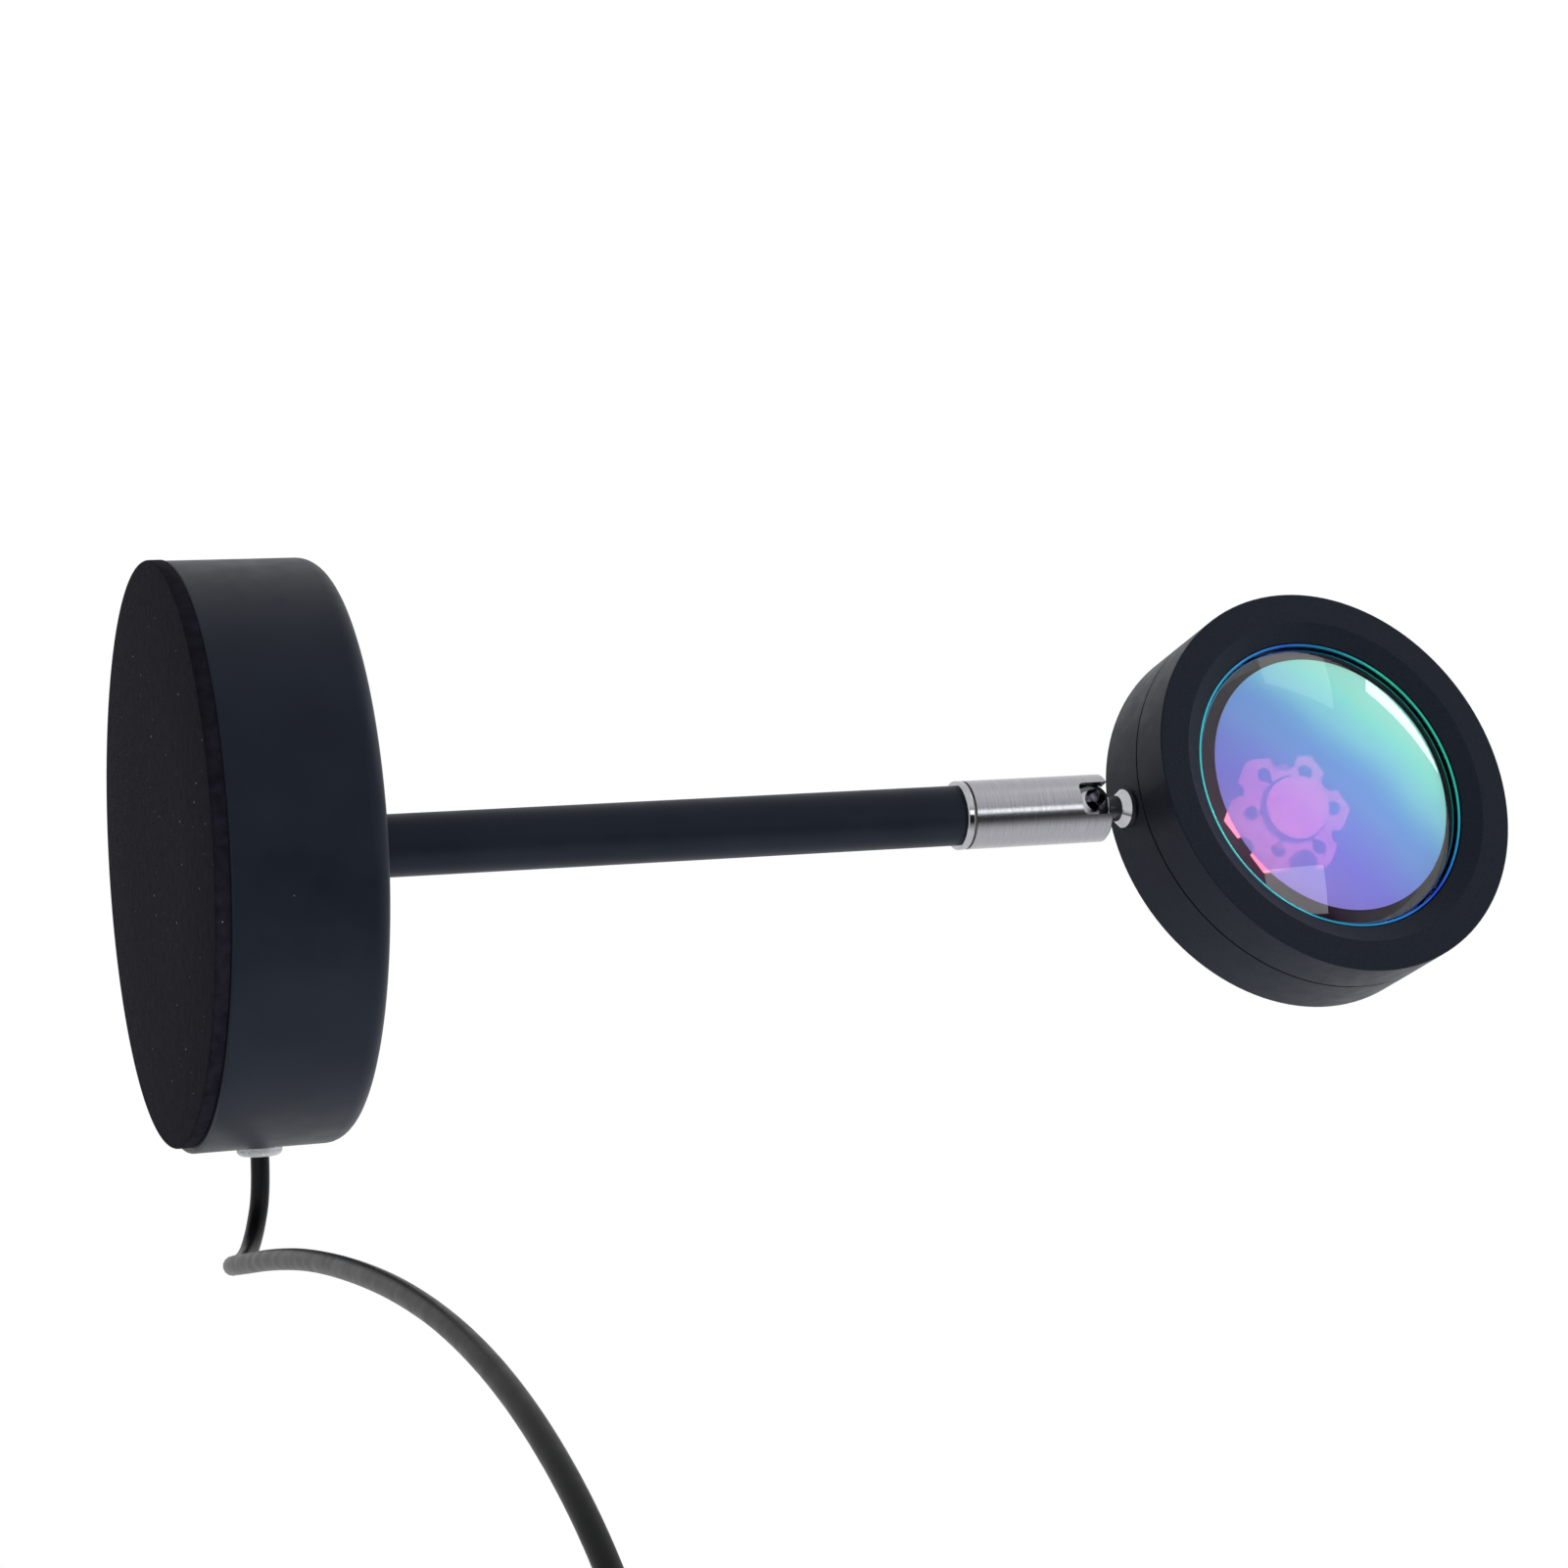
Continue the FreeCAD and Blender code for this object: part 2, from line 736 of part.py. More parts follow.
def make_springs():
    """Two disc springs back to back that press the seat up against the ball."""
    bore = "spring_bore / 2"
    rim = "seat_radius"
    lower = turned("lower_disc_spring", [
        (rim, "spring_foot"), (rim, "spring_foot + spring_thick"),
        (bore, "spring_foot + spring_step"), (bore, "spring_foot + spring_rise"),
    ])
    middle = "spring_foot + spring_step"
    upper = turned("upper_disc_spring", [
        (bore, middle), (bore, f"{middle} + spring_thick"),
        (rim, f"{middle} + spring_step"), (rim, f"{middle} + spring_rise"),
    ])
    return [lower, upper]


def make_seat():
    """The nylon cup the ball turns in."""
    blank = tube("seat_blank", "wire_bore / 2", "seat_radius", "seat_foot", "seat_foot + seat_height")
    hollow = doc.addObject("Part::Sphere", "seat_hollow")
    bind(hollow, Radius="ball_radius + seat_gap")
    hollow.setExpression("Placement.Base.z", in_sheet("ball_level"))
    return cut("ball_seat", blank, hollow)


# ---- directions at the ball ----------------------------------------------------------


def ball_frame():
    """The ball's centre, the stud's direction and the lens's direction at rest."""
    side = math.radians(size("slot_side"))
    lean = math.radians(-size("lean_back"))
    slot = Vector(-math.sin(side), -math.cos(side), 0)
    up = Vector(0, 0, 1)
    stud = up * math.cos(lean) + slot * math.sin(lean)
    facing = slot * math.cos(lean) - up * math.sin(lean)
    return Vector(0, 0, size("ball_level")), stud, facing


def stud_place():
    """Local Z along the stud, local X the way the lens faces, origin at the ball."""
    centre, stud, facing = ball_frame()
    return Placement(centre, Rotation(facing, stud.cross(facing), stud, "ZXY"))


def head_place():
    """Local Z out of the lens, local X towards the ball, origin on the front face."""
    centre, stud, facing = ball_frame()
    middle = centre + stud * number("neck_reach + head_radius")
    front = middle + facing * size("stud_setback")
    towards_ball = stud * -1
    return Placement(front, Rotation(towards_ball, facing.cross(towards_ball), facing, "ZXY"))


def make_stud():
    """The hollow ball stud with its wire eye, and the washer and nut that hold the head."""
    ball = doc.addObject("Part::Sphere", "stud_ball")
    bind(ball, Radius="ball_radius")
    neck = cylinder("stud_neck", "neck_dia / 2", "0", "flange_face - 0.1")
    cone = doc.addObject("Part::Cone", "stud_cone")
    bind(cone, Radius1="neck_dia / 2", Radius2="flange_dia / 2", Height="flange_cone")
    cone.setExpression("Placement.Base.z", in_sheet("flange_face - flange_thick - flange_cone"))
    disc = cylinder("stud_disc", "flange_dia / 2", "flange_face - flange_thick", "flange_thick")
    stack = "stud_washer_thick + stud_nut_thick + float_gap"
    thread = cylinder("stud_thread", "stud_dia / 2", "flange_face - 0.2",
                      f"inner_seat + {stack} + stud_end - flange_face + 0.2")
    blank = fuse("stud_blank", [ball, neck, cone, disc, thread])
    bore_length = "ball_dia + neck_reach + side_wall + 9"
    bore = cylinder("stud_wire_bore", "stud_bore / 2", "-ball_radius - 1", bore_length)
    eye = cylinder("stud_eye", "eye_dia / 2", "0", "ball_radius + 1")
    eye.Placement = Placement(Vector(), ALONG_X)
    hollow = fuse("stud_hollow", [bore, eye])
    stud = cut("ball_stud", blank, hollow)
    seat = "inner_seat + float_gap"
    washer = tube("stud_washer", "stud_dia / 2 + thread_gap", "stud_washer_dia / 2", seat,
                  f"{seat} + stud_washer_thick")
    nut = padded("stud_nut", hexagon("stud_nut_flats"), f"{seat} + stud_washer_thick", "stud_nut_thick")
    sketch = new_sketch(nut, "stud_nut_bore", "XY_Plane")
    add_circle(sketch, "0", "0", "stud_dia + 2 * thread_gap")
    pocket(nut, sketch, "inner_seat + head_radius", reverse=True)
    for piece in (stud, washer, nut):
        piece.Placement = stud_place()
    return [stud, washer, nut]


# ---- head ----------------------------------------------------------------------------


def make_housing():
    """The rear half of the head: a thick aluminium cup that carries the light source."""
    housing = turned("rear_housing", [
        ("0", "-head_depth"), ("head_radius", "-head_depth"), ("head_radius", "housing_front"),
        ("housing_inside", "housing_front"), ("housing_inside", "head_floor"), ("0", "head_floor"),
    ])
    edge_at(housing, "Chamfer", "head_radius", "-head_depth", "head_edge")
    tap = new_sketch(housing, "board_tap", "XY_Plane", "head_floor")
    add_circle(tap, "0", "board_flats / 2", "board_screw_dia + 2 * thread_gap")
    hole = pocket(housing, tap, "board_screw_bite + 0.2")
    repeat_round(housing, hole, 2)
    stations = (
        ("stud_hole", "stud_dia + 2 * running_gap", "0", "head_radius + 1"),
        ("outer_spot", "spot_dia", "head_radius - spot_depth", "2"),
        ("inner_spot", "spot_dia", "0", "housing_inside + spot_depth"),
    )
    for name, diameter, start, length in stations:
        sketch = new_sketch(housing, name, "YZ_Plane", start)
        add_circle(sketch, "0", "-stud_setback", diameter)
        pocket(housing, sketch, length, reverse=True)
    return housing


def make_bezel():
    """The front ring: flat face, wide funnel down to the window, spigot into the housing."""
    funnel = "head_radius - ring_face"
    spigot = "housing_inside - spigot_gap"
    step = "head_radius - seam_depth"
    bezel = turned("front_bezel", [
        (funnel, "0"), ("head_radius", "0"), ("head_radius", "-bezel_depth"), (step, "-bezel_depth"),
        (step, "housing_front"), (spigot, "housing_front"), (spigot, "spigot_foot"),
        ("lens_seat_radius", "spigot_foot"), ("lens_seat_radius", "lip_back"),
        ("window_radius", "lip_back"), ("window_radius", "-funnel_depth"),
    ])
    edge_at(bezel, "Fillet", "head_radius", "0", "front_edge")
    return bezel


def make_lens():
    """The glass: a flat flange in the bezel and a shallow dome through its window."""
    ball = doc.addObject("Part::Sphere", "lens_sphere")
    bind(ball, Radius="lens_radius")
    ball.setExpression("Placement.Base.z", in_sheet("lens_rise - lens_radius"))
    column = cylinder("lens_column", "window_radius - dome_gap", "lens_back", "lens_rise - lens_back + 5")
    dome = doc.addObject("Part::Common", "lens_dome")
    dome.Base = ball
    dome.Tool = column
    flange = cylinder("lens_flange", "lens_rim_radius", "lens_back", "lens_edge")
    return fuse("lens", [dome, flange])


def make_optics():
    """Gasket, retaining ring, colour filter and the dark shroud behind the lens."""
    gasket = tube("lens_gasket", "window_radius + 0.3", "lens_rim_radius", "lens_front", "lip_back")
    retainer = tube("lens_retainer", "lens_rim_radius - retainer_width", "lens_seat_radius - lens_gap / 2",
                    "retainer_back", "lens_back")
    disc = new_body("colour_filter")
    sketch = new_sketch(disc, "filter_circle", "XY_Plane", "filter_back")
    add_circle(sketch, "0", "0", "2 * lens_rim_radius")
    raised = disc.newObject("PartDesign::Pad", "filter_raise")
    raised.Profile = sketch
    bind(raised, Length="filter_thick")
    doc.recompute()
    flange = "lens_seat_radius - shroud_gap"
    mouth = f"({flange} - shroud_step)"
    foot = "shroud_foot / 2"
    under = "filter_back - shroud_wall"
    shroud = turned("light_shroud", [
        (mouth, "filter_back"), (flange, "filter_back"), (flange, under),
        (f"{mouth} + shroud_wall", under), (f"{foot} + shroud_wall", "head_floor"),
        (foot, "head_floor"), (mouth, under),
    ])
    return [gasket, retainer, disc, shroud]


def make_light_source():
    """Thermal pad, star board, domed emitter and two screws on the housing's floor."""
    pad = new_body("thermal_pad")
    sketch = new_sketch(pad, "thermal_circle", "XY_Plane", "head_floor")
    add_circle(sketch, "0", "0", "pad_disc - board_notch")
    raised = pad.newObject("PartDesign::Pad", "thermal_raise")
    raised.Profile = sketch
    bind(raised, Length="pad_disc_thick")
    doc.recompute()

    board = padded("led_board", hexagon("board_flats"), "board_back", "board_thick")
    notch = new_sketch(board, "board_notch_circle", "XY_Plane", "board_back")
    add_circle(notch, "0", "board_flats / 2", "board_notch")
    bite = pocket(board, notch, "board_thick + 1", reverse=True)
    repeat_round(board, bite, 6)

    base = cylinder("emitter_base", "chip_dia / 2", "board_front", "chip_thick")
    dome = doc.addObject("Part::Sphere", "emitter_dome")
    dome.Angle1 = 0
    bind(dome, Radius="bulb_dia / 2")
    dome.setExpression("Placement.Base.z", in_sheet("board_front + chip_thick"))
    emitter = fuse("led_emitter", [base, dome])

    screws = []
    for index, side in enumerate((1, -1)):
        head = cylinder(f"board_screw_head_{index}", "board_screw_head / 2", "board_front",
                        "board_screw_head_thick")
        shank = cylinder(f"board_screw_shank_{index}", "board_screw_dia / 2", "head_floor - board_screw_bite",
                         "board_front - head_floor + board_screw_bite + 0.2")
        screw = fuse(f"board_screw_{index}", [head, shank])
        screw.Placement = Placement(Vector(0, side * number("board_flats / 2"), 0), Rotation())
        screws.append(screw)
    return [pad, board, emitter, compound("board_screws", screws)]


def box(name, sizes, centre_x, centre_y, foot):
    """An upright box about a centre line, its sizes given as formulas."""
    solid = doc.addObject("Part::Box", name)
    length, width, height = sizes
    bind(solid, Length=length, Width=width, Height=height)
    solid.setExpression("Placement.Base.x", in_sheet(f"{centre_x} - ({length}) / 2"))
    solid.setExpression("Placement.Base.y", in_sheet(f"{centre_y} - ({width}) / 2"))
    solid.setExpression("Placement.Base.z", in_sheet(foot))
    return solid


def make_driver():
    """The small driver board on the floor, across from the stud, with its three parts."""
    place = "-(housing_inside - driver_gap - driver_width / 2)"
    top = "head_floor + driver_thick"
    board = box("driver_plate", ("driver_width", "driver_length", "driver_thick"), place, "0", "head_floor")
    chip = box("driver_chip", ("3.9", "4.9", "1.3"), place, "4.2", f"{top} - 0.1")
    resistor = box("driver_resistor", ("1.6", "3.2", "0.8"), place, "-0.6", f"{top} - 0.1")
    inductor = cylinder("driver_inductor", "2", f"{top} - 0.1", "2.2")
    inductor.setExpression("Placement.Base.x", in_sheet(place))
    inductor.Placement.Base.y = -4.9
    return fuse("driver_board", [board, chip, resistor, inductor])


# The two wires' way from the stud's end round the floor to the driver: how far in from
# the housing's inside, the turn about the head's axis and the height over the floor.
HEAD_WIRE_POINTS = [
    (3.8, 1.3, 4.2), (6.0, 1.8, 4.1), (8.2, 8.0, 3.3), (8.6, 18.9, 1.9), (8.9, 33.9, 0.9),
    (9.2, 54.5, 0.8), (9.3, 76.0, 0.8), (9.3, 97.4, 0.8), (9.4, 117.6, 1.0), (9.4, 135.7, 1.5),
    (9.5, 151.8, 1.7), (9.7, 161.3, 1.7),
]
AT_STUD = 2


def make_head_wires():
    """Two thin wires between the stud and the driver board, one further in than the other."""
    wires = []
    for lane in range(2):
        points = []
        aside = lane * size("wire_spacing")
        for step, (inset, turn, lift) in enumerate(HEAD_WIRE_POINTS):
            reach = size("housing_inside") - inset
            if step >= AT_STUD:
                reach -= aside
            angle = math.radians(turn)
            point = Vector(reach * math.cos(angle), reach * math.sin(angle), size("head_floor") + lift)
            if step < AT_STUD:
                point.y -= aside
            points.append(point)
        wires.append(tube_along(smooth_wire(points), size("wire_dia") / 2))
    return feature("head_wires", Part.makeCompound(wires))


def make_head():
    """Every piece of the head, built about its own axis and then set on the ball stud."""
    pieces = [make_housing(), make_bezel(), make_lens(), make_driver(), make_head_wires()]
    pieces += make_optics()
    pieces += make_light_source()
    for piece in pieces:
        piece.Placement = head_place()
    return pieces


# ---- free cord -----------------------------------------------------------------------

# The lead's way, across and along from where it leaves the bush. The third number is a
# share of the height between lying on the table and the bush, or the switch's middle.
LEAD_DROP = [
    (0, 0, 1), (6.2, 0, 1), (12.0, -3.0, 0.87), (15.4, -9.0, 0.68), (15.4, -17.4, 0.45),
    (14.0, -26.5, 0.24), (11.8, -38.5, 0.07),
]
LEAD_RISE = [
    (9.0, -54.0, 0), (5.2, -74.0, 0), (1.3, -99.0, 0), (-1.6, -127.0, 0), (-3.2, -155.0, 0),
    (-2.8, -182.0, 0), (0.3, -207.0, 0), (6.4, -229.0, 0), (14.9, -246.0, 0), (25.4, -256.5, 0),
    (35.4, -256.0, 0.05), (41.8, -248.6, 0.23), (43.7, -239.0, 0.6), (43.7, -230.8, 0.9),
    (43.4, -224.2, 1), (43.4, -218.4, 1),
]
# The last stretch, from the coil's end to the plug, the height a share as above.
TAIL = [(0, 0, 0), (0, -5.4, 0), (0.6, -11.8, 0.25), (1.9, -18.6, 0.7), (2.8, -24.8, 1), (2.8, -30.4, 1)]
HALF_TURNS = 9
TIE_SIDE = 90.0


def between(low, high, share):
    """The height that is a share of the way from one to another."""
    return low + share * (high - low)


def lead_points():
    """The lead's points from the bush to the switch."""
    lying = size("cord_radius")
    stretches = ((LEAD_DROP, size("exit_height")), (LEAD_RISE, size("coil_high")))
    return [
        Vector(size("exit_face") + across, along, between(lying, high, share))
        for stretch, high in stretches
        for across, along, share in stretch
    ]


def coil_start():
    """Where the coil's first turn begins, past the switch."""
    end = lead_points()[-1]
    return Vector(end.x, end.y + size("switch_length") + size("coil_lead_in"), end.z)


def tail_points():
    """The points from the coil's end to the plug."""
    end = coil_wire().Vertexes[-1].Point
    return [
        Vector(end.x + across, end.y + along, between(end.z, size("plug_height"), share))
        for across, along, share in TAIL
    ]


def half_turn(centre_x, centre_y, radius, start_side, level):
    """A level half turn, clockwise seen from above, from one side of the coil to the other."""
    start = Vector(centre_x + start_side * radius, centre_y, level)
    end = Vector(centre_x - start_side * radius, centre_y, level)
    middle = Vector(centre_x, centre_y - start_side * radius, level)
    quarter = math.sqrt(0.5) * radius
    first = Vector(centre_x + start_side * quarter, centre_y - start_side * quarter, level)
    second = Vector(centre_x - start_side * quarter, centre_y - start_side * quarter, level)
    return [Part.Arc(start, first, middle), Part.Arc(middle, second, end)], end


def climbing_half_turn(start, end, heading):
    """Two equal arcs from one level to another, level at both ends."""
    across = end - start
    reach = across.Length / 2
    joint = (start + end) * 0.5 + heading * reach
    return [arc_from(start, heading, joint), arc_from(joint, across.normalize(), end)]


def arc_from(start, heading, end):
    """The arc that leaves a point along a heading and ends at another point."""
    chord = end - start
    along = chord * 0.5
    normal = chord.cross(heading).cross(chord).normalize()
    turn = heading.getAngle(chord)
    rise = along.Length * math.tan(turn / 2)
    return Part.Arc(start, start + along + normal * rise, end)


def coil_wire():
    """The stored cord: in on the upper layer, down a layer at the eye, out on the lower."""
    point = coil_start()
    centre_y = point.y
    pitch = size("coil_pitch") / 2
    low = size("coil_low")
    curves = [Part.LineSegment(point - Vector(0, size("coil_lead_in"), 0), point)]
    side = -1
    radii = [size("coil_outer") - pitch * step for step in range(HALF_TURNS)]
    for radius in radii:
        arcs, point = half_turn(point.x - side * radius, centre_y, radius, side, point.z)
        curves += arcs
        side = -side
    inner = radii[-1] - pitch
    landing = Vector(point.x - side * 2 * inner, centre_y, low)
    curves += climbing_half_turn(point, landing, Vector(0, -side, 0))
    point = landing
    side = -side
    for radius in reversed(radii):
        arcs, point = half_turn(point.x - side * radius, centre_y, radius, side, low)
        curves += arcs
        side = -side
    curves.append(Part.LineSegment(point, point - Vector(0, size("cord_dia"), 0)))
    return Part.Wire([curve.toShape() for curve in curves])


SAMPLE_STEP = 1.2


def least_gap(wire, diameter):
    """The least gap between turns, measured on points that are far apart along the wire."""
    points = wire.discretize(Distance=SAMPLE_STEP)
    apart = int(math.pi * diameter / SAMPLE_STEP) + 1
    nearest = min(
        first.distanceToPoint(second)
        for index, first in enumerate(points)
        for second in points[index + apart:]
    )
    return nearest - diameter


def coil_middle():
    """The middle of the coil seen from above."""
    start = coil_start()
    return Vector(start.x + size("coil_outer") + size("coil_pitch") / 4, start.y, 0)


def make_coil():
    """The coil of stored cord and the strap that holds its turns together."""
    wire = coil_wire()
    print(f"cord coil least gap {least_gap(wire, size('cord_dia')):.2f} mm")
    coil = feature("cord_coil", tube_along(wire, size("cord_radius"), "cord coil"))
    middle = coil_middle()
    spread = size("cord_radius") + size("tie_gap")
    inner_turn = size("coil_outer") - size("coil_pitch") / 2 * (HALF_TURNS - 1)
    aside = size("tie_width") / 2 + size("coil_pitch") * 3 / 4
    near = math.sqrt((inner_turn - size("cord_radius")) ** 2 - aside ** 2) - size("tie_gap")
    far = size("coil_outer") + spread + size("coil_pitch") / 2
    low = size("coil_low") - spread
    high = size("coil_high") + spread
    wall = size("tie_thick")
    width = size("tie_width")
    corner = Vector(near - wall, -width / 2, low - wall)
    outer = Part.makeBox(far - near + 2 * wall, width, high - low + 2 * wall, corner)
    long_edges = [edge for edge in outer.Edges if edge.BoundBox.YLength > width - 1e-6]
    outer = outer.makeFillet(wall * 1.4, long_edges)
    inner = Part.makeBox(far - near, width + 2, high - low, Vector(near, -width / 2 - 1, low))
    tie = feature("coil_tie", outer.cut(inner))
    tie.Placement = Placement(middle, Rotation(Vector(0, 0, 1), TIE_SIDE))
    return [coil, tie]


def make_cord():
    """The free stretches of the cord on either side of the coil."""
    lead = smooth_wire(lead_points(), "cord lead")
    tail = smooth_wire(tail_points(), "cord tail")
    radius = size("cord_radius")
    return [
        feature("cord_lead", tube_along(lead, radius, "cord lead")),
        feature("cord_tail", tube_along(tail, radius, "cord tail")),
    ]


# ---- inline switch -------------------------------------------------------------------


def switch_place():
    """The middle of the switch on the table, its length along Y, between lead and coil."""
    end = lead_points()[-1]
    return Placement(Vector(end.x, end.y + size("switch_length") / 2, 0), Rotation(Vector(0, 0, 1), 90))


def rounded_block(name, foot, height, rounded_level):
    """A block with rounded upright corners and one rounded rim, and a hollow inside."""
    half_length = "switch_length / 2"
    half_width = "switch_width / 2"
    corners = [(f"-{half_length}", f"-{half_width}"), (half_length, f"-{half_width}"),
               (half_length, half_width), (f"-{half_length}", half_width)]
    body = padded(name, corners, foot, height)
    tall = number(height)
    upright = []
    for index, edge in enumerate(body.Shape.Edges, start=1):
        if abs(edge.BoundBox.ZLength - tall) < 1e-4:
            upright.append(f"Edge{index}")
    dress(body, "Fillet", upright, "switch_round * 2")
    rim = []
    for index, edge in enumerate(body.Shape.Edges, start=1):
        flat = edge.BoundBox.ZLength < 1e-4
        if flat and abs(edge.BoundBox.Center.z - number(rounded_level)) < 1e-4:
            rim.append(f"Edge{index}")
    dress(body, "Fillet", rim, "switch_round / 2")
    return body


def hollow_out(body, name, level, depth):
    """The room inside one half of the switch."""
    half_length = "(switch_length / 2 - 3 * switch_wall)"
    half_width = "(switch_width / 2 - switch_wall)"
    corners = [(f"-{half_length}", f"-{half_width}"), (half_length, f"-{half_width}"),
               (half_length, half_width), (f"-{half_length}", half_width)]
    sketch = new_sketch(body, name, "XY_Plane", level)
    add_outline(sketch, corners)
    pocket(body, sketch, depth, reverse=(name == "cover_room"))


def make_switch():
    """Two halves of the switch case and the push button in the upper one."""
    base = rounded_block("switch_base", "0", "switch_split", "0")
    hollow_out(base, "base_room", "switch_split", "switch_split - switch_wall")
    cover_height = "switch_top - switch_split"
    cover = rounded_block("switch_cover", "switch_split", cover_height, "switch_top")
    hollow_out(cover, "cover_room", "switch_split", f"{cover_height} - switch_wall")
    window = new_sketch(cover, "button_window", "XY_Plane", "switch_top")
    half_length = "(button_length / 2 + button_gap)"
    half_width = "(button_width / 2 + button_gap)"
    add_outline(window, [(f"-{half_length}", f"-{half_width}"), (half_length, f"-{half_width}"),
                         (half_length, half_width), (f"-{half_length}", half_width)])
    pocket(cover, window, "switch_wall + 1")
    ceiling = "switch_top - switch_wall"
    skirt_top = f"{ceiling} - button_gap"
    key_height = "button_rise + switch_wall + button_gap + 0.2"
    key = box("button_key", ("button_length", "button_width", key_height), "0", "0", f"{skirt_top} - 0.2")
    skirt_sizes = ("button_length + 2 * button_skirt", "button_width + 2 * button_skirt", "0.8")
    skirt = box("button_skirt_plate", skirt_sizes, "0", "0", f"{skirt_top} - 0.8")
    blank = fuse("button_blank", [key, skirt])
    button = doc.addObject("Part::Fillet", "switch_button")
    button.Label = "switch_button"
    button.Base = blank
    doc.recompute()
    top = number("switch_top + button_rise")
    rim = []
    for index, edge in enumerate(blank.Shape.Edges, start=1):
        if abs(edge.BoundBox.Center.z - top) < 1e-4 and edge.BoundBox.ZLength < 1e-4:
            rim.append((index, 0.6, 0.6))
    button.Edges = rim
    doc.recompute()
    contact = make_contact_block()
    for piece in (base, cover, button, contact):
        piece.Placement = switch_place()
    return [base, cover, button, contact]


def make_contact_block():
    """The latching contact block under the button, standing on the case's floor."""
    travel = "button_travel + button_gap"
    height = f"switch_top - 2 * switch_wall - button_gap - 0.8 - ({travel})"
    block = box("contact_body", ("button_length - 2", "button_width + 1", height), "0", "0", "switch_wall")
    plunger_foot = f"switch_wall + ({height}) - 0.2"
    plunger = box("contact_plunger", ("3", "3", "0.3"), "0", "0", plunger_foot)
    return fuse("switch_contact", [block, plunger])


# ---- plug ----------------------------------------------------------------------------


def plug_place():
    """The end of the cord, with local X along the plug."""
    return Placement(tail_points()[-1], Rotation(Vector(0, 0, 1), -90))


def make_plug():
    """The moulded grip with its tapered relief, the metal shell and the contact tongue."""
    relief = doc.addObject("Part::Cone", "plug_relief")
    bind(relief, Radius1="relief_tip / 2", Radius2="relief_dia / 2", Height="relief_length + 0.5")
    relief.Placement = Placement(Vector(), ALONG_X)
    block = box("plug_block", ("grip_length", "grip_width", "2 * plug_height"),
                "relief_length + grip_length / 2", "0", "-plug_height")
    doc.recompute()
    rounded = doc.addObject("Part::Fillet", "plug_rounded")
    rounded.Base = block
    long_edges = []
    for index, edge in enumerate(block.Shape.Edges, start=1):
        if edge.BoundBox.XLength > size("grip_length") - 1e-4:
            long_edges.append((index, size("grip_round"), size("grip_round")))
    rounded.Edges = long_edges
    doc.recompute()
    root = "relief_length + grip_length"
    inside = "6"
    floor = "-plug_thick / 2"
    socket = box("plug_socket", (inside, "plug_width", "plug_thick"), f"{root} - {inside} / 2", "0", floor)
    grip_blank = fuse("plug_grip_blank", [relief, rounded])
    grip = cut("plug_grip", grip_blank, socket)

    reach = f"plug_length + {inside}"
    middle = f"{root} + (plug_length - {inside}) / 2"
    outer = box("plug_skin_outer", (reach, "plug_width", "plug_thick"), middle, "0", floor)
    room = ("plug_width - 2 * plug_skin", "plug_thick - 2 * plug_skin")
    inner = box("plug_skin_inner", (f"{reach} + 2", *room), middle, "0", f"{floor} + plug_skin")
    shell = cut("plug_shell", outer, inner)

    blade = (f"{reach} - 0.5", "plug_width - 2 * plug_skin - 2 * tongue_gap", "tongue_thick")
    tongue = box("plug_tongue", blade, f"{middle} - 0.25", "0", f"{floor} + plug_skin + 0.05")
    tongue.Label = "plug_tongue"
    doc.recompute()
    frame = plug_place()
    grip.Placement = frame
    shell.Placement = frame
    tongue_mount = doc.addObject("Part::Compound", "plug_contact_tongue")
    tongue_mount.Label = "plug_contact_tongue"
    tongue_mount.Links = [tongue]
    tongue_mount.Placement = frame
    doc.recompute()
    return [grip, shell, tongue_mount]


# ---- build, check and write ----------------------------------------------------------


def all_nodes():
    """Every piece of the lamp, in the order it is put together."""
    nodes = [make_shell(), make_weight(), make_plate(), make_posts(), make_base_screws(), make_pad()]
    nodes += [make_bush(), make_lead_stop(), make_inner_lead()]
    nodes += make_stem()
    nodes += make_swivel()
    nodes.append(make_barrel())
    nodes += make_springs()
    nodes.append(make_seat())
    nodes += make_stud()
    nodes += make_head()
    nodes += make_cord()
    nodes += make_coil()
    nodes += make_switch()
    nodes += make_plug()
    return nodes


def check(nodes):
    """Stop at any failed object or faulty shape."""
    for thing in doc.Objects:
        if "Invalid" in thing.State or "Error" in thing.State:
            raise RuntimeError(f"{thing.Name} failed: {thing.State}")
    for node in nodes:
        if node.Shape.isNull() or not node.Shape.isValid() or not node.Shape.Solids:
            raise RuntimeError(f"{node.Label} has a faulty shape")


def write(nodes):
    """Each node's shape as its own file."""
    os.makedirs("parts", exist_ok=True)
    for node in nodes:
        node.Shape.exportStep(f"parts/{node.Label}.step")
        print(f"{node.Label}: {len(node.Shape.Solids)} solid, {node.Shape.Volume:.1f} mm3, "
              f"top {node.Shape.BoundBox.ZMax:.1f}")


lamp = all_nodes()
doc.recompute()
check(lamp)
write(lamp)
print(len(lamp), "nodes")
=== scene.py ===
import math

import bmesh
import bpy
from mathutils import Matrix, Vector


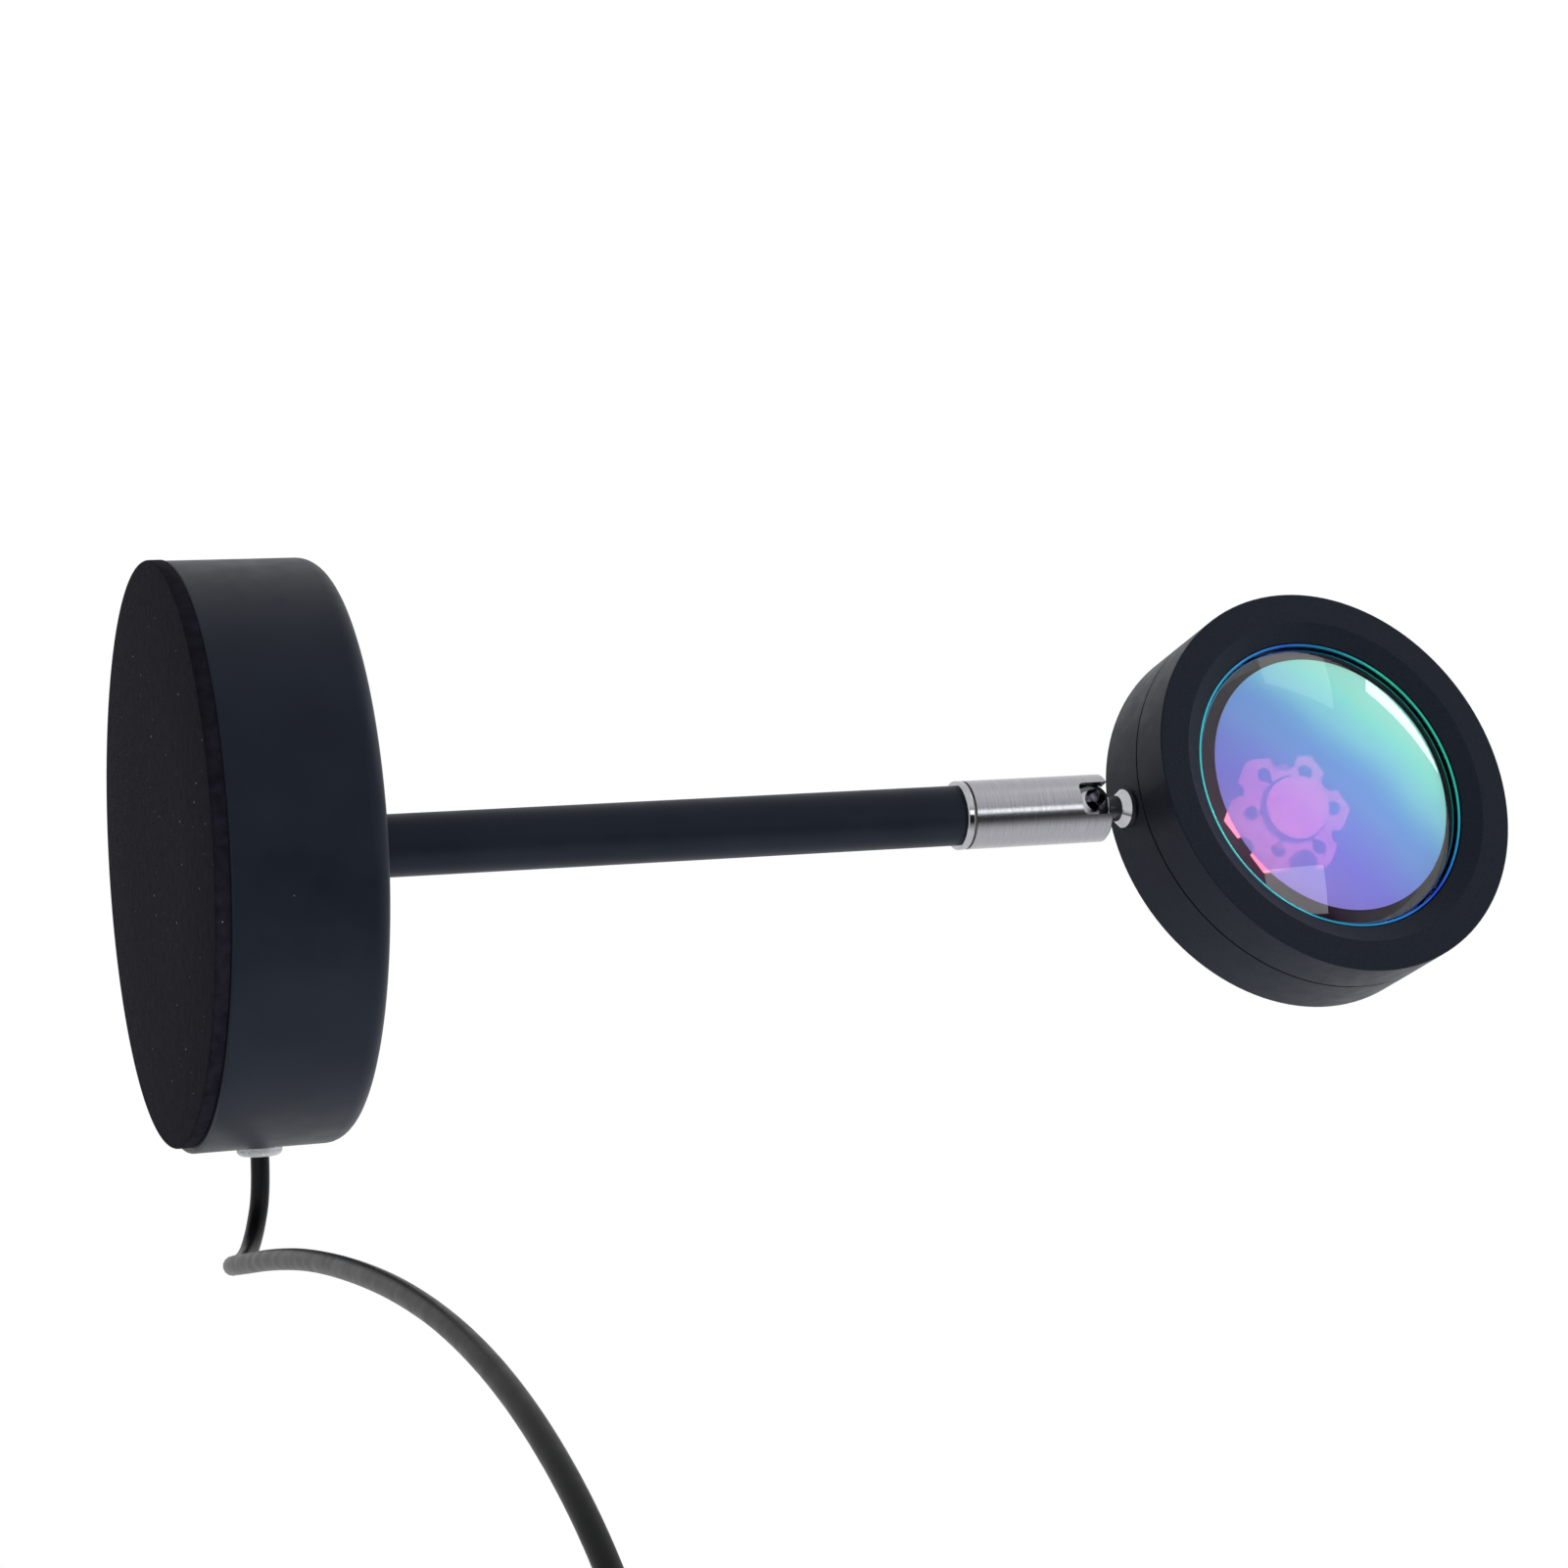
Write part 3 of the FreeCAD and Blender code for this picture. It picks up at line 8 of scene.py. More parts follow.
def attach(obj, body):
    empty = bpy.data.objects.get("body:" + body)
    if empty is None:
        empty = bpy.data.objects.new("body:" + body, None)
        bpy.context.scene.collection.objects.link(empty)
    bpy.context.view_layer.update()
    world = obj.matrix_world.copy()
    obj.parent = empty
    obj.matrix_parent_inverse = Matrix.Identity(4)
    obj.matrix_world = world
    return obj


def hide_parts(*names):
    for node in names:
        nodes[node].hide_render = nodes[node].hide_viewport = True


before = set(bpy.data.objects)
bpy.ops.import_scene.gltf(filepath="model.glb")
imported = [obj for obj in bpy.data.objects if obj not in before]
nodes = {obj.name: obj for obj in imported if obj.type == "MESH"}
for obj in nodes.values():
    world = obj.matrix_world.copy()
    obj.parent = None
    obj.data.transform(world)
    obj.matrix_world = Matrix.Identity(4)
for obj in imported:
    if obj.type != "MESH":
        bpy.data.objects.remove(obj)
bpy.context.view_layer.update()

mm = 0.001

# Camera
# The lamp stands upright here; the camera lies on its side and looks up at it from below the table.
camera = {
    "lens": 80.95,
    "sensor": 36.0,
    "place": (-0.03362, -0.59359, -0.10593),
    "right": (0.03352, -0.34730, 0.93716),
    "up": (-0.99858, 0.02731, 0.04583),
    "back": (-0.04151, -0.93736, -0.34588),
}


def makeCamera():
    data = bpy.data.cameras.new("camera")
    data.lens = camera["lens"]
    data.sensor_width = camera["sensor"]
    data.clip_start = 0.02
    data.clip_end = 20
    eye = bpy.data.objects.new("camera", data)
    bpy.context.scene.collection.objects.link(eye)
    turn = Matrix([camera["right"], camera["up"], camera["back"]]).transposed()
    eye.matrix_world = Matrix.Translation(camera["place"]) @ turn.to_4x4()
    bpy.context.scene.camera = eye


makeCamera()
bpy.context.scene.view_settings.view_transform = "Standard"


# Material helpers
def toLinear(hexText):
    values = [int(hexText[i : i + 2], 16) / 255 for i in (1, 3, 5)]
    return [v / 12.92 if v <= 0.04045 else ((v + 0.055) / 1.055) ** 2.4 for v in values] + [1.0]


def addNode(tree, kind, inputs=None, **settings):
    node = tree.nodes.new(kind)
    for key, value in settings.items():
        setattr(node, key, value)
    for key, value in (inputs or {}).items():
        if isinstance(value, bpy.types.NodeSocket):
            tree.links.new(value, node.inputs[key])
        else:
            node.inputs[key].default_value = value
    return node


def fillRamp(node, stops):
    ramp = node.color_ramp
    while len(ramp.elements) > len(stops):
        ramp.elements.remove(ramp.elements[-1])
    while len(ramp.elements) < len(stops):
        ramp.elements.new(1.0)
    for element, (place, color) in zip(ramp.elements, stops):
        element.position = place
        element.color = toLinear(color) if isinstance(color, str) else (color, color, color, 1)
    return node.outputs["Color"]


shaderSockets = {
    "metallic": "Metallic", "roughness": "Roughness", "ior": "IOR", "specular": "Specular IOR Level",
    "transmission": "Transmission Weight", "coat": "Coat Weight", "coatRoughness": "Coat Roughness",
    "sheen": "Sheen Weight", "subsurface": "Subsurface Weight", "alpha": "Alpha",
    "glow": "Emission Strength",
}


def startMaterial(look):
    material = bpy.data.materials.new(look["name"])
    material.use_nodes = True
    tree = material.node_tree
    shader = tree.nodes["Principled BSDF"]
    shader.inputs["Base Color"].default_value = toLinear(look["color"])
    for key, socket in shaderSockets.items():
        if key in look:
            shader.inputs[socket].default_value = look[key]
    if "tint" in look:
        shader.inputs["Specular Tint"].default_value = toLinear(look["tint"])
    if "glow" in look:
        shader.inputs["Emission Color"].default_value = toLinear(look["color"])
    place = addNode(tree, "ShaderNodeTexCoord").outputs["Object"]
    return material, tree, shader, place


def speckle(tree, place, size, share, radius):
    # round specks: a share of the cells of one size holds a dot of one radius, all in metres
    cells = addNode(tree, "ShaderNodeTexVoronoi", {"Vector": place, "Scale": 1 / size}, feature="F1")
    pick = addNode(tree, "ShaderNodeSeparateColor", {"Color": cells.outputs["Color"]}).outputs["Red"]
    chosen = addNode(tree, "ShaderNodeMath", {0: pick, 1: 1 - share}, operation="GREATER_THAN").outputs[0]
    apart = {0: cells.outputs["Distance"], 1: radius / size}
    near = addNode(tree, "ShaderNodeMath", apart, operation="LESS_THAN").outputs[0]
    return addNode(tree, "ShaderNodeMath", {0: chosen, 1: near}, operation="MULTIPLY").outputs[0]


def mottled(tree, place, size, low, high, detail=4.0):
    # two colours or greys mixed by noise of one grain size in metres
    noise = addNode(tree, "ShaderNodeTexNoise", {"Vector": place, "Scale": 1 / size, "Detail": detail})
    ramp = addNode(tree, "ShaderNodeValToRGB", {"Fac": noise.outputs["Fac"]})
    return fillRamp(ramp, [(0.3, low), (0.7, high)])


def addBump(tree, shader, height, strength, depth):
    bump = addNode(tree, "ShaderNodeBump", {"Height": height, "Strength": strength, "Distance": depth})
    tree.links.new(bump.outputs["Normal"], shader.inputs["Normal"])


def layFinish(tree, shader, place, look):
    # What most finishes share. All sizes are in metres:
    # mottle: size, two colours and the noise's detail; wear: size, two roughnesses and the detail;
    # specks: cell size, share of the cells and radius; relief: size, detail, strength and depth.
    if "stretch" in look:
        drawn = {"Vector": place, "Scale": look["stretch"]}
        place = addNode(tree, "ShaderNodeMapping", drawn).outputs["Vector"]
    base = mottled(tree, place, *look["mottle"]) if "mottle" in look else toLinear(look["color"])
    for specks in look.get("specks", ()):
        over = {0: speckle(tree, place, *specks), 6: base, 7: toLinear(look["speckColor"])}
        base = addNode(tree, "ShaderNodeMix", over, data_type="RGBA").outputs[2]
    tree.links.new(base, shader.inputs["Base Color"])
    if "wear" in look:
        tree.links.new(mottled(tree, place, *look["wear"]), shader.inputs["Roughness"])
    if "relief" in look:
        size, detail, strength, depth = look["relief"]
        noise = addNode(tree, "ShaderNodeTexNoise", {"Vector": place, "Scale": 1 / size, "Detail": detail})
        addBump(tree, shader, noise.outputs["Fac"], strength, depth)


def makeFinish(look):
    material, tree, shader, place = startMaterial(look)
    layFinish(tree, shader, place, look)
    return material


# Satin powder coat on steel: blue-black, dry, with a fine orange peel and a few dust specks.
powderCoat = {
    "name": "satin powder coated steel",
    "color": "#1a1f28",
    "roughness": 0.44,
    "specular": 0.16,
    "tint": "#cfdcff",
    "mottle": (0.012, "#171b23", "#1d222b"),
    "wear": (0.006, 0.42, 0.5),
    "specks": [(0.0042, 0.05, 0.00011)],
    "speckColor": "#6c7077",
    "relief": (0.0006, 2.0, 0.22, 0.00003),
}

# Nickel-plated brass, brushed round and round: rings of fine scratches and a grey sheen.
brushedNickel = {
    "name": "brushed nickel plate",
    "color": "#a3a3a9",
    "metallic": 1.0,
    "roughness": 0.22,
    "mottle": (0.00022, "#9b9ba1", "#a9a9af", 3.0),
    "wear": (0.0003, 0.19, 0.27, 3.0),
    "relief": (0.000167, 2.0, 0.2, 0.00001),
    "stretch": (0.05, 0.05, 1.0),  # the scratches run round the upright axis, so they are drawn out level
}

# Polished nickel plate: bright, with a little smear left by handling.
polishedNickel = {
    "name": "polished nickel plate",
    "color": "#b0b0b5",
    "metallic": 1.0,
    "roughness": 0.14,
    "mottle": (0.004, "#a6a6ab", "#b9b9be"),
    "wear": (0.0015, 0.08, 0.22),
}

# Aluminium, bead blasted and anodised black: satin, blue-black, with a fine even grain.
blackAnodised = {
    "name": "black anodised aluminium",
    "color": "#1a1e27",
    "roughness": 0.42,
    "specular": 0.1,
    "tint": "#cfdcff",
    "mottle": (0.0005, "#1a1e25", "#20252f", 3.0),
    "wear": (0.003, 0.38, 0.47),
    "specks": [(0.005, 0.06, 0.0001)],
    "speckColor": "#70757c",
    "relief": (0.00028, 3.0, 0.3, 0.00002),
}

# Soft PVC cord sheath: extruded, so it is smooth, with a broad soft gloss along its back.
pvcSheath = {
    "name": "extruded black PVC",
    "color": "#0d0e10",
    "roughness": 0.38,
    "specular": 0.13,
    "mottle": (0.006, "#0b0c0e", "#131417"),
    "wear": (0.003, 0.34, 0.44),
    "relief": (0.00111, 2.0, 0.15, 0.00004),
}

# Closed-cell EVA foam: matte, purplish black, with a pore every half millimetre and pale lint.
evaFoam = {
    "name": "closed cell EVA foam",
    "color": "#1e1c25",
    "roughness": 0.95,
    "specular": 0.05,
    "mottle": (0.0022, "#17151d", "#24222c", 6.0),
    "specks": [(0.0034, 0.22, 0.0002), (0.0013, 0.08, 0.0001)],
    "speckColor": "#a5a2ac",
    "pore": 0.0005,
    "poreDepth": 0.00008,
}


def makeEvaFoam():
    material, tree, shader, place = startMaterial(evaFoam)
    layFinish(tree, shader, place, evaFoam)
    pores = addNode(tree, "ShaderNodeTexVoronoi", {"Vector": place, "Scale": 1 / evaFoam["pore"]})
    addBump(tree, shader, pores.outputs["Distance"], 0.6, evaFoam["poreDepth"])
    return material


# The plain finishes below share one recipe: a mottled colour, a mottled roughness and a grain.
plainFinishes = {
    # zinc plated steel: cold grey, slightly cloudy
    "zinc": {"name": "zinc plated steel", "color": "#a9acb0", "low": "#989ba0", "high": "#b8bbbe",
             "metallic": 1.0, "roughness": 0.34, "grain": 0.0006, "bump": 0.2},
    # hardened spring steel: darker and glossier
    "spring": {"name": "hardened spring steel", "color": "#7d8085", "low": "#6a6e74", "high": "#8d9094",
               "metallic": 1.0, "roughness": 0.25, "grain": 0.0004, "bump": 0.15},
    # sand cast iron: dark, coarse and dull
    "iron": {"name": "sand cast iron", "color": "#3a3836", "low": "#2d2b2a", "high": "#4a4743",
             "metallic": 0.6, "roughness": 0.75, "grain": 0.0012, "bump": 0.9},
    # natural nylon: waxy, darkened by the grease it runs in
    "nylon": {"name": "greased natural nylon", "color": "#6f6c66", "low": "#64615b", "high": "#7a766f",
              "roughness": 0.5, "specular": 0.5, "subsurface": 0.15, "grain": 0.001, "bump": 0.15},
    # clear soft PVC bush: pale and translucent
    "bush": {"name": "clear moulded PVC", "color": "#e3e4e6", "low": "#dadcdf", "high": "#eef0f2",
             "roughness": 0.28, "transmission": 0.45, "ior": 1.5, "grain": 0.002, "bump": 0.1},
    # nitrile gasket: dull black rubber
    "rubber": {"name": "nitrile rubber", "color": "#141414", "low": "#101010", "high": "#1b1b1b",
               "roughness": 0.8, "specular": 0.3, "grain": 0.0006, "bump": 0.4},
    # black ABS with a light-trapping texture, inside the head; the same black is also painted shade in the
    # board screws' crosses
    "inside": {"name": "matte black ABS and painted shade", "color": "#0c0c0e", "low": "#09090b", "high": "#121215",
               "roughness": 0.85, "specular": 0.2, "grain": 0.0005, "bump": 0.5},
    # filled silicone pad: soft grey
    "thermal": {"name": "filled silicone pad", "color": "#8f949a", "low": "#858a90", "high": "#9aa0a6",
                "roughness": 0.8, "grain": 0.0006, "bump": 0.3},
    # white solder resist over an aluminium core: slightly glossy, eggshell white;
    # its glow stands for the daylight that the lens gathers on it
    "boardWhite": {"name": "white solder resist", "color": "#f1efe9", "low": "#e9e6df", "high": "#f7f5f0",
                   "roughness": 0.4, "grain": 0.001, "bump": 0.15, "glow": 2.2},
    # green solder resist on fibreglass
    "boardGreen": {"name": "green solder resist", "color": "#1f5a33", "low": "#194c2a", "high": "#27693d",
                   "roughness": 0.35, "grain": 0.0008, "bump": 0.3},
    # gold flash on the contacts
    "gold": {"name": "gold flashed copper", "color": "#d9b25f", "low": "#cfa652", "high": "#e4c27a",
             "metallic": 1.0, "roughness": 0.25, "grain": 0.0006, "bump": 0.1},
    # tinned solder
    "solder": {"name": "reflowed solder", "color": "#b9bcc0", "low": "#a6a9ad", "high": "#cbced2",
               "metallic": 1.0, "roughness": 0.3, "grain": 0.0005, "bump": 0.4},
    # yellow phosphor seen through clear silicone
    "phosphor": {"name": "phosphor in silicone", "color": "#f3d98a", "low": "#efd27a", "high": "#f8e3a3",
                 "roughness": 0.45, "subsurface": 0.2, "grain": 0.0004, "bump": 0.1},
    # clear silicone dome, with the same glow: painted light for the daylight that the lens gathers on it
    "silicone": {"name": "clear silicone", "color": "#fbf8f2", "low": "#f7f4ec", "high": "#fdfcf9",
                 "roughness": 0.08, "transmission": 0.35, "ior": 1.41, "grain": 0.002,
                 "bump": 0.02, "glow": 1.5},
    # injection moulded black ABS with a spark-eroded texture
    "abs": {"name": "spark textured black ABS", "color": "#15161a", "low": "#111215", "high": "#1b1c21",
            "roughness": 0.55, "specular": 0.22, "grain": 0.0004, "bump": 0.45},
    # glossy black ABS button, polished by fingers
    "button": {"name": "polished black ABS", "color": "#1c1d22", "low": "#18191e", "high": "#232429",
               "roughness": 0.22, "coat": 0.3, "coatRoughness": 0.15, "grain": 0.001, "bump": 0.05},
    # phenolic contact carrier
    "phenolic": {"name": "moulded phenolic", "color": "#b7ad94", "low": "#aba188", "high": "#c3baa3",
                 "roughness": 0.6, "grain": 0.0005, "bump": 0.3},
    # white glass-filled nylon tongue in the plug
    "tongue": {"name": "glass filled white nylon", "color": "#e8e8e6", "low": "#dededb", "high": "#f0f0ee",
               "roughness": 0.5, "grain": 0.0005, "bump": 0.2},
    # tin plated steel plug shell: bright, faintly rolled along its length
    "tin": {"name": "tin plated steel", "color": "#c4c6c8", "low": "#b5b7ba", "high": "#d0d2d4",
            "metallic": 1.0, "roughness": 0.22, "grain": 0.0006, "bump": 0.15, "stretch": (1.0, 0.08, 1.0)},
    # PVC insulated hook-up wire
    "redWire": {"name": "red PVC insulation", "color": "#a81d1d", "low": "#981818", "high": "#bb2626",
                "roughness": 0.4, "grain": 0.001, "bump": 0.1},
}


def makePlain(key):
    look = dict(plainFinishes[key])
    grain, rough = look["grain"], look["roughness"]
    look["mottle"] = (grain * 6, look["low"], look["high"])
    look["wear"] = (grain * 4, rough * 0.85, min(1.0, rough * 1.15))
    look["relief"] = (grain, 3.0, look["bump"], grain * 0.15)
    return makeFinish(look)


# Woven hook-and-loop strap: a fine twill of black nylon, soft against the light.
nylonStrap = {
    "name": "woven nylon strap",
    "color": "#141416",
    "roughness": 0.85,
    "specular": 0.3,
    "sheen": 0.3,
    "stops": [(0.1, "#0d0d0f"), (0.8, "#26262a")],
    "thread": 0.0005,
    "threadDepth": 0.00012,
    "waveUnit": 0.32,  # the length of one wave at scale 1, in metres
}


def makeNylonStrap():
    material, tree, shader, place = startMaterial(nylonStrap)
    waves = []
    for turn in (45.0, -45.0):
        diagonal = {"Vector": place, "Rotation": (0, 0, math.radians(turn))}
        angled = addNode(tree, "ShaderNodeMapping", diagonal).outputs["Vector"]
        scale = nylonStrap["waveUnit"] / nylonStrap["thread"]
        wave = {"Vector": angled, "Scale": scale, "Distortion": 0.4}
        waves.append(addNode(tree, "ShaderNodeTexWave", wave).outputs["Fac"])
    weave = addNode(tree, "ShaderNodeMath", {0: waves[0], 1: waves[1]}, operation="MULTIPLY").outputs[0]
    ramp = addNode(tree, "ShaderNodeValToRGB", {"Fac": weave})
    tree.links.new(fillRamp(ramp, nylonStrap["stops"]), shader.inputs["Base Color"])
    addBump(tree, shader, weave, 0.8, nylonStrap["threadDepth"])
    return material


# Where the head and the stud stand
# The same directions as the construction: the slot's side, the stud's lean and the lens's facing.
headPose = {"side": 23.2, "lean": 6.3, "ball": 172.2, "reach": 47.6, "setback": 14.4}

side = math.radians(headPose["side"])
lean = math.radians(-headPose["lean"])
slotWay = Vector((-math.sin(side), -math.cos(side), 0))
studWay = Vector((0, 0, 1)) * math.cos(lean) + slotWay * math.sin(lean)
facing = slotWay * math.cos(lean) - Vector((0, 0, 1)) * math.sin(lean)
ballCentre = Vector((0, 0, headPose["ball"]))
frontCentre = ballCentre + studWay * headPose["reach"] + facing * headPose["setback"]


def placeFrom(origin, xWay, zWay):
    # from a piece's own millimetres to the frame's metres
    turn = Matrix([xWay, zWay.cross(xWay), zWay]).transposed().to_4x4()
    return Matrix.Scale(mm, 4) @ Matrix.Translation(origin) @ turn


headPlace = placeFrom(frontCentre, -studWay, facing)
tablePlace = Matrix.Scale(mm, 4)


# Lens glass: clear and polished, faintly blue, with no grain of its own but a few dust motes.
lensGlass = {
    "name": "polished optical glass",
    "color": "#f6fbff",
    "roughness": 0.0,
    "transmission": 1.0,
    "ior": 1.5,
    "specks": [(0.0045, 0.12, 0.00009)],
    "speckColor": "#39406b",
    "wear": (0.01, 0.0, 0.02),
}


def headCoordinates(tree, place):
    # x towards the ball, y across the disc and z out of the lens, in metres from the front face
    back = (headPlace @ Matrix.Scale(1 / mm, 4)).inverted()
    turned = {"Vector": place, "Location": back.to_translation(), "Rotation": back.to_3x3().to_euler()}
    return addNode(tree, "ShaderNodeMapping", turned, vector_type="POINT").outputs["Vector"]


# Thin-film coating on the lens: it mirrors violet, blue and mint and lets the warm colours through.
# The colour runs across the disc, as the film's thickness does.
filmCoating = {
    "name": "thin film dichroic coating",
    "color": "#86b0f0",
    "metallic": 1.0,
    "roughness": 0.5,
    "alpha": 0.65,
    "across": (-0.7, -0.72, 0.0),
    "span": 0.044,
    "cloud": 0.01667,
    "drift": 0.006,
    "stops": [
        (0.0, "#b8a0f5"), (0.27, "#a29fff"), (0.4, "#9cafff"), (0.5, "#98bfff"), (0.6, "#92c2ff"),
        (0.67, "#92cfff"), (0.78, "#a5eeff"), (0.92, "#a8fff4"), (1.0, "#b8fff0"),
    ],
}


def makeFilmCoating():
    material, tree, shader, place = startMaterial(filmCoating)
    local = headCoordinates(tree, place)
    dot = {0: local, 1: filmCoating["across"]}
    along = addNode(tree, "ShaderNodeVectorMath", dot, operation="DOT_PRODUCT").outputs["Value"]
    cloud = {"Vector": local, "Scale": 1 / filmCoating["cloud"], "Detail": 1.0}
    wander = addNode(tree, "ShaderNodeTexNoise", cloud).outputs["Fac"]
    drift = addNode(tree, "ShaderNodeMath", {0: wander, 1: filmCoating["drift"]}, operation="MULTIPLY")
    moved = addNode(tree, "ShaderNodeMath", {0: along, 1: drift.outputs[0]}, operation="ADD").outputs[0]
    half = filmCoating["span"] / 2
    share = addNode(tree, "ShaderNodeMapRange", {"Value": moved, "From Min": -half, "From Max": half})
    ramp = addNode(tree, "ShaderNodeValToRGB", {"Fac": share.outputs["Result"]})
    tree.links.new(fillRamp(ramp, filmCoating["stops"]), shader.inputs["Base Color"])
    return material


# Filter glass: what the film lets through is rose red.
filterGlass = {
    "name": "rose filter glass",
    "color": "#ff7ba2",
    "roughness": 0.02,
    "transmission": 1.0,
    "ior": 1.05,
    "mottle": (0.02, "#ff7096", "#ff86ae"),
}

# Coated edge of the lens: the film shows as a cyan and blue line round the rim.
rimFilm = {
    "name": "coated glass edge",
    "color": "#2f9fb4",
    "metallic": 1.0,
    "roughness": 0.2,
    "stops": [
        (0.0, "#2fb39b"), (0.14, "#37c3a4"), (0.27, "#2f62c9"), (0.42, "#3fb4c6"), (0.55, "#4cc9c0"),
        (0.72, "#2f98b8"), (0.86, "#2746c4"), (1.0, "#2fb39b"),
    ],
}


def makeRimFilm():
    material, tree, shader, place = startMaterial(rimFilm)
    split = addNode(tree, "ShaderNodeSeparateXYZ", {"Vector": headCoordinates(tree, place)})
    sides = {0: split.outputs["Y"], 1: split.outputs["X"]}
    turn = addNode(tree, "ShaderNodeMath", sides, operation="ARCTAN2").outputs[0]
    share = addNode(tree, "ShaderNodeMapRange", {"Value": turn, "From Min": -math.pi, "From Max": math.pi})
    ramp = addNode(tree, "ShaderNodeValToRGB", {"Fac": share.outputs["Result"]})
    tree.links.new(fillRamp(ramp, rimFilm["stops"]), shader.inputs["Base Color"])
    return material


finishes = {key: makePlain(key) for key in plainFinishes}
finishes.update({
    "powderCoat": makeFinish(powderCoat),
    "foam": makeEvaFoam(),
    "brushed": makeFinish(brushedNickel),
    "polished": makeFinish(polishedNickel),
    "anodised": makeFinish(blackAnodised),
    "sheath": makeFinish(pvcSheath),
    "strap": makeNylonStrap(),
    "lens": makeFinish(lensGlass),
    "film": makeFilmCoating(),
    "filter": makeFinish(filterGlass),
    "rimFilm": makeRimFilm(),
})
print("finishes made:", len(finishes))


# Modelling helpers
def finishPiece(name, mesh, finish, body, slot, replaced=(), place=tablePlace, sharp=32.0, bevel=0.0):
    # turns a finished bmesh in its own millimetres into a piece that rides on its body
    bmesh.ops.remove_doubles(mesh, verts=mesh.verts, dist=1e-4)
    bmesh.ops.recalc_face_normals(mesh, faces=mesh.faces)
    bmesh.ops.transform(mesh, matrix=place, verts=mesh.verts)
    for face in mesh.faces:
        face.smooth = True
    data = bpy.data.meshes.new(name)
    mesh.to_mesh(data)
    mesh.free()
    data.set_sharp_from_angle(angle=math.radians(sharp))
    piece = bpy.data.objects.new(name, data)
    bpy.context.scene.collection.objects.link(piece)
    data.materials.append(finishes[finish])
    if bevel:
        edge = piece.modifiers.new("edges", "BEVEL")
        edge.width = bevel * mm
        edge.segments = 3
        edge.limit_method = "ANGLE"
        edge.angle_limit = math.radians(30)
        edge.harden_normals = True
    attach(piece, body)
    if replaced:
        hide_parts(*replaced)
    return piece


def turnedShape(corners, steps=160, closed=True):
    # spins an outline of (radius, height) about Z
    mesh = bmesh.new()
    made = [mesh.verts.new((radius, 0, height)) for radius, height in corners]
    edges = [mesh.edges.new(pair) for pair in zip(made, made[1:])]
    if closed:
        edges.append(mesh.edges.new((made[-1], made[0])))
    bmesh.ops.spin(
        mesh, geom=made + edges, cent=(0, 0, 0), axis=(0, 0, 1), angle=math.tau, steps=steps, use_merge=True,
    )
    return mesh


def outlineShape(corners, foot, height):
    # raises a flat outline
    mesh = bmesh.new()
    face = mesh.faces.new([mesh.verts.new((x, y, foot)) for x, y in corners])
    raised = bmesh.ops.extrude_face_region(mesh, geom=[face])
    top = [item for item in raised["geom"] if isinstance(item, bmesh.types.BMVert)]
    bmesh.ops.translate(mesh, vec=(0, 0, height), verts=top)
    return mesh


def blockShape(sizes, centre, rounding=0.0, segments=4, axis=None):
    # a box with rounded edges: all of them, or those along one axis
    mesh = bmesh.new()
    bmesh.ops.create_cube(mesh, size=1.0)
    bmesh.ops.scale(mesh, vec=sizes, verts=mesh.verts)
    bmesh.ops.translate(mesh, vec=centre, verts=mesh.verts)
    if rounding:
        edges = mesh.edges[:]
        if axis is not None:
            edges = [e for e in edges if abs((e.verts[0].co - e.verts[1].co)[axis]) > 1e-6]
        bmesh.ops.bevel(
            mesh, geom=edges, offset=rounding, segments=segments, affect="EDGES", profile=0.5, material=-1,
        )
    return mesh


def joinShapes(target, other):
    data = bpy.data.meshes.new("part")
    other.to_mesh(data)
    other.free()
    target.from_mesh(data)
    bpy.data.meshes.remove(data)


def arcPoints(centre, radius, start, end, count):
    turns = [math.radians(start + (end - start) * i / count) for i in range(count + 1)]
    return [(centre[0] + radius * math.cos(turn), centre[1] + radius * math.sin(turn)) for turn in turns]


def roundedOutline(left, right, low, high, corner, count):
    # a block's outline with round corners, anticlockwise from its right side
    points = []
    for x, y, start in ((right - corner, high - corner, 0), (left + corner, high - corner, 90),
                        (left + corner, low + corner, 180), (right - corner, low + corner, 270)):
        points += arcPoints((x, y), corner, start, start + 90, count)
    return points


def ribbedSleeve(sleeve):
    # a sleeve's profile: rings with grooves between them, each ring wider or narrower than the last
    profile = [(sleeve["bore"], 0.0)]
    for index in range(sleeve["rings"]):
        foot = sleeve["first"] + index * sleeve["pitch"]
        outer = sleeve["reach"] + index * sleeve["taper"]
        inner = outer - sleeve["groove"]
        profile += [(outer, foot), (outer, foot + sleeve["ring"])]
        profile += [(inner, foot + sleeve["ring"] + 0.1), (inner, foot + sleeve["pitch"] - 0.05)]
    return profile


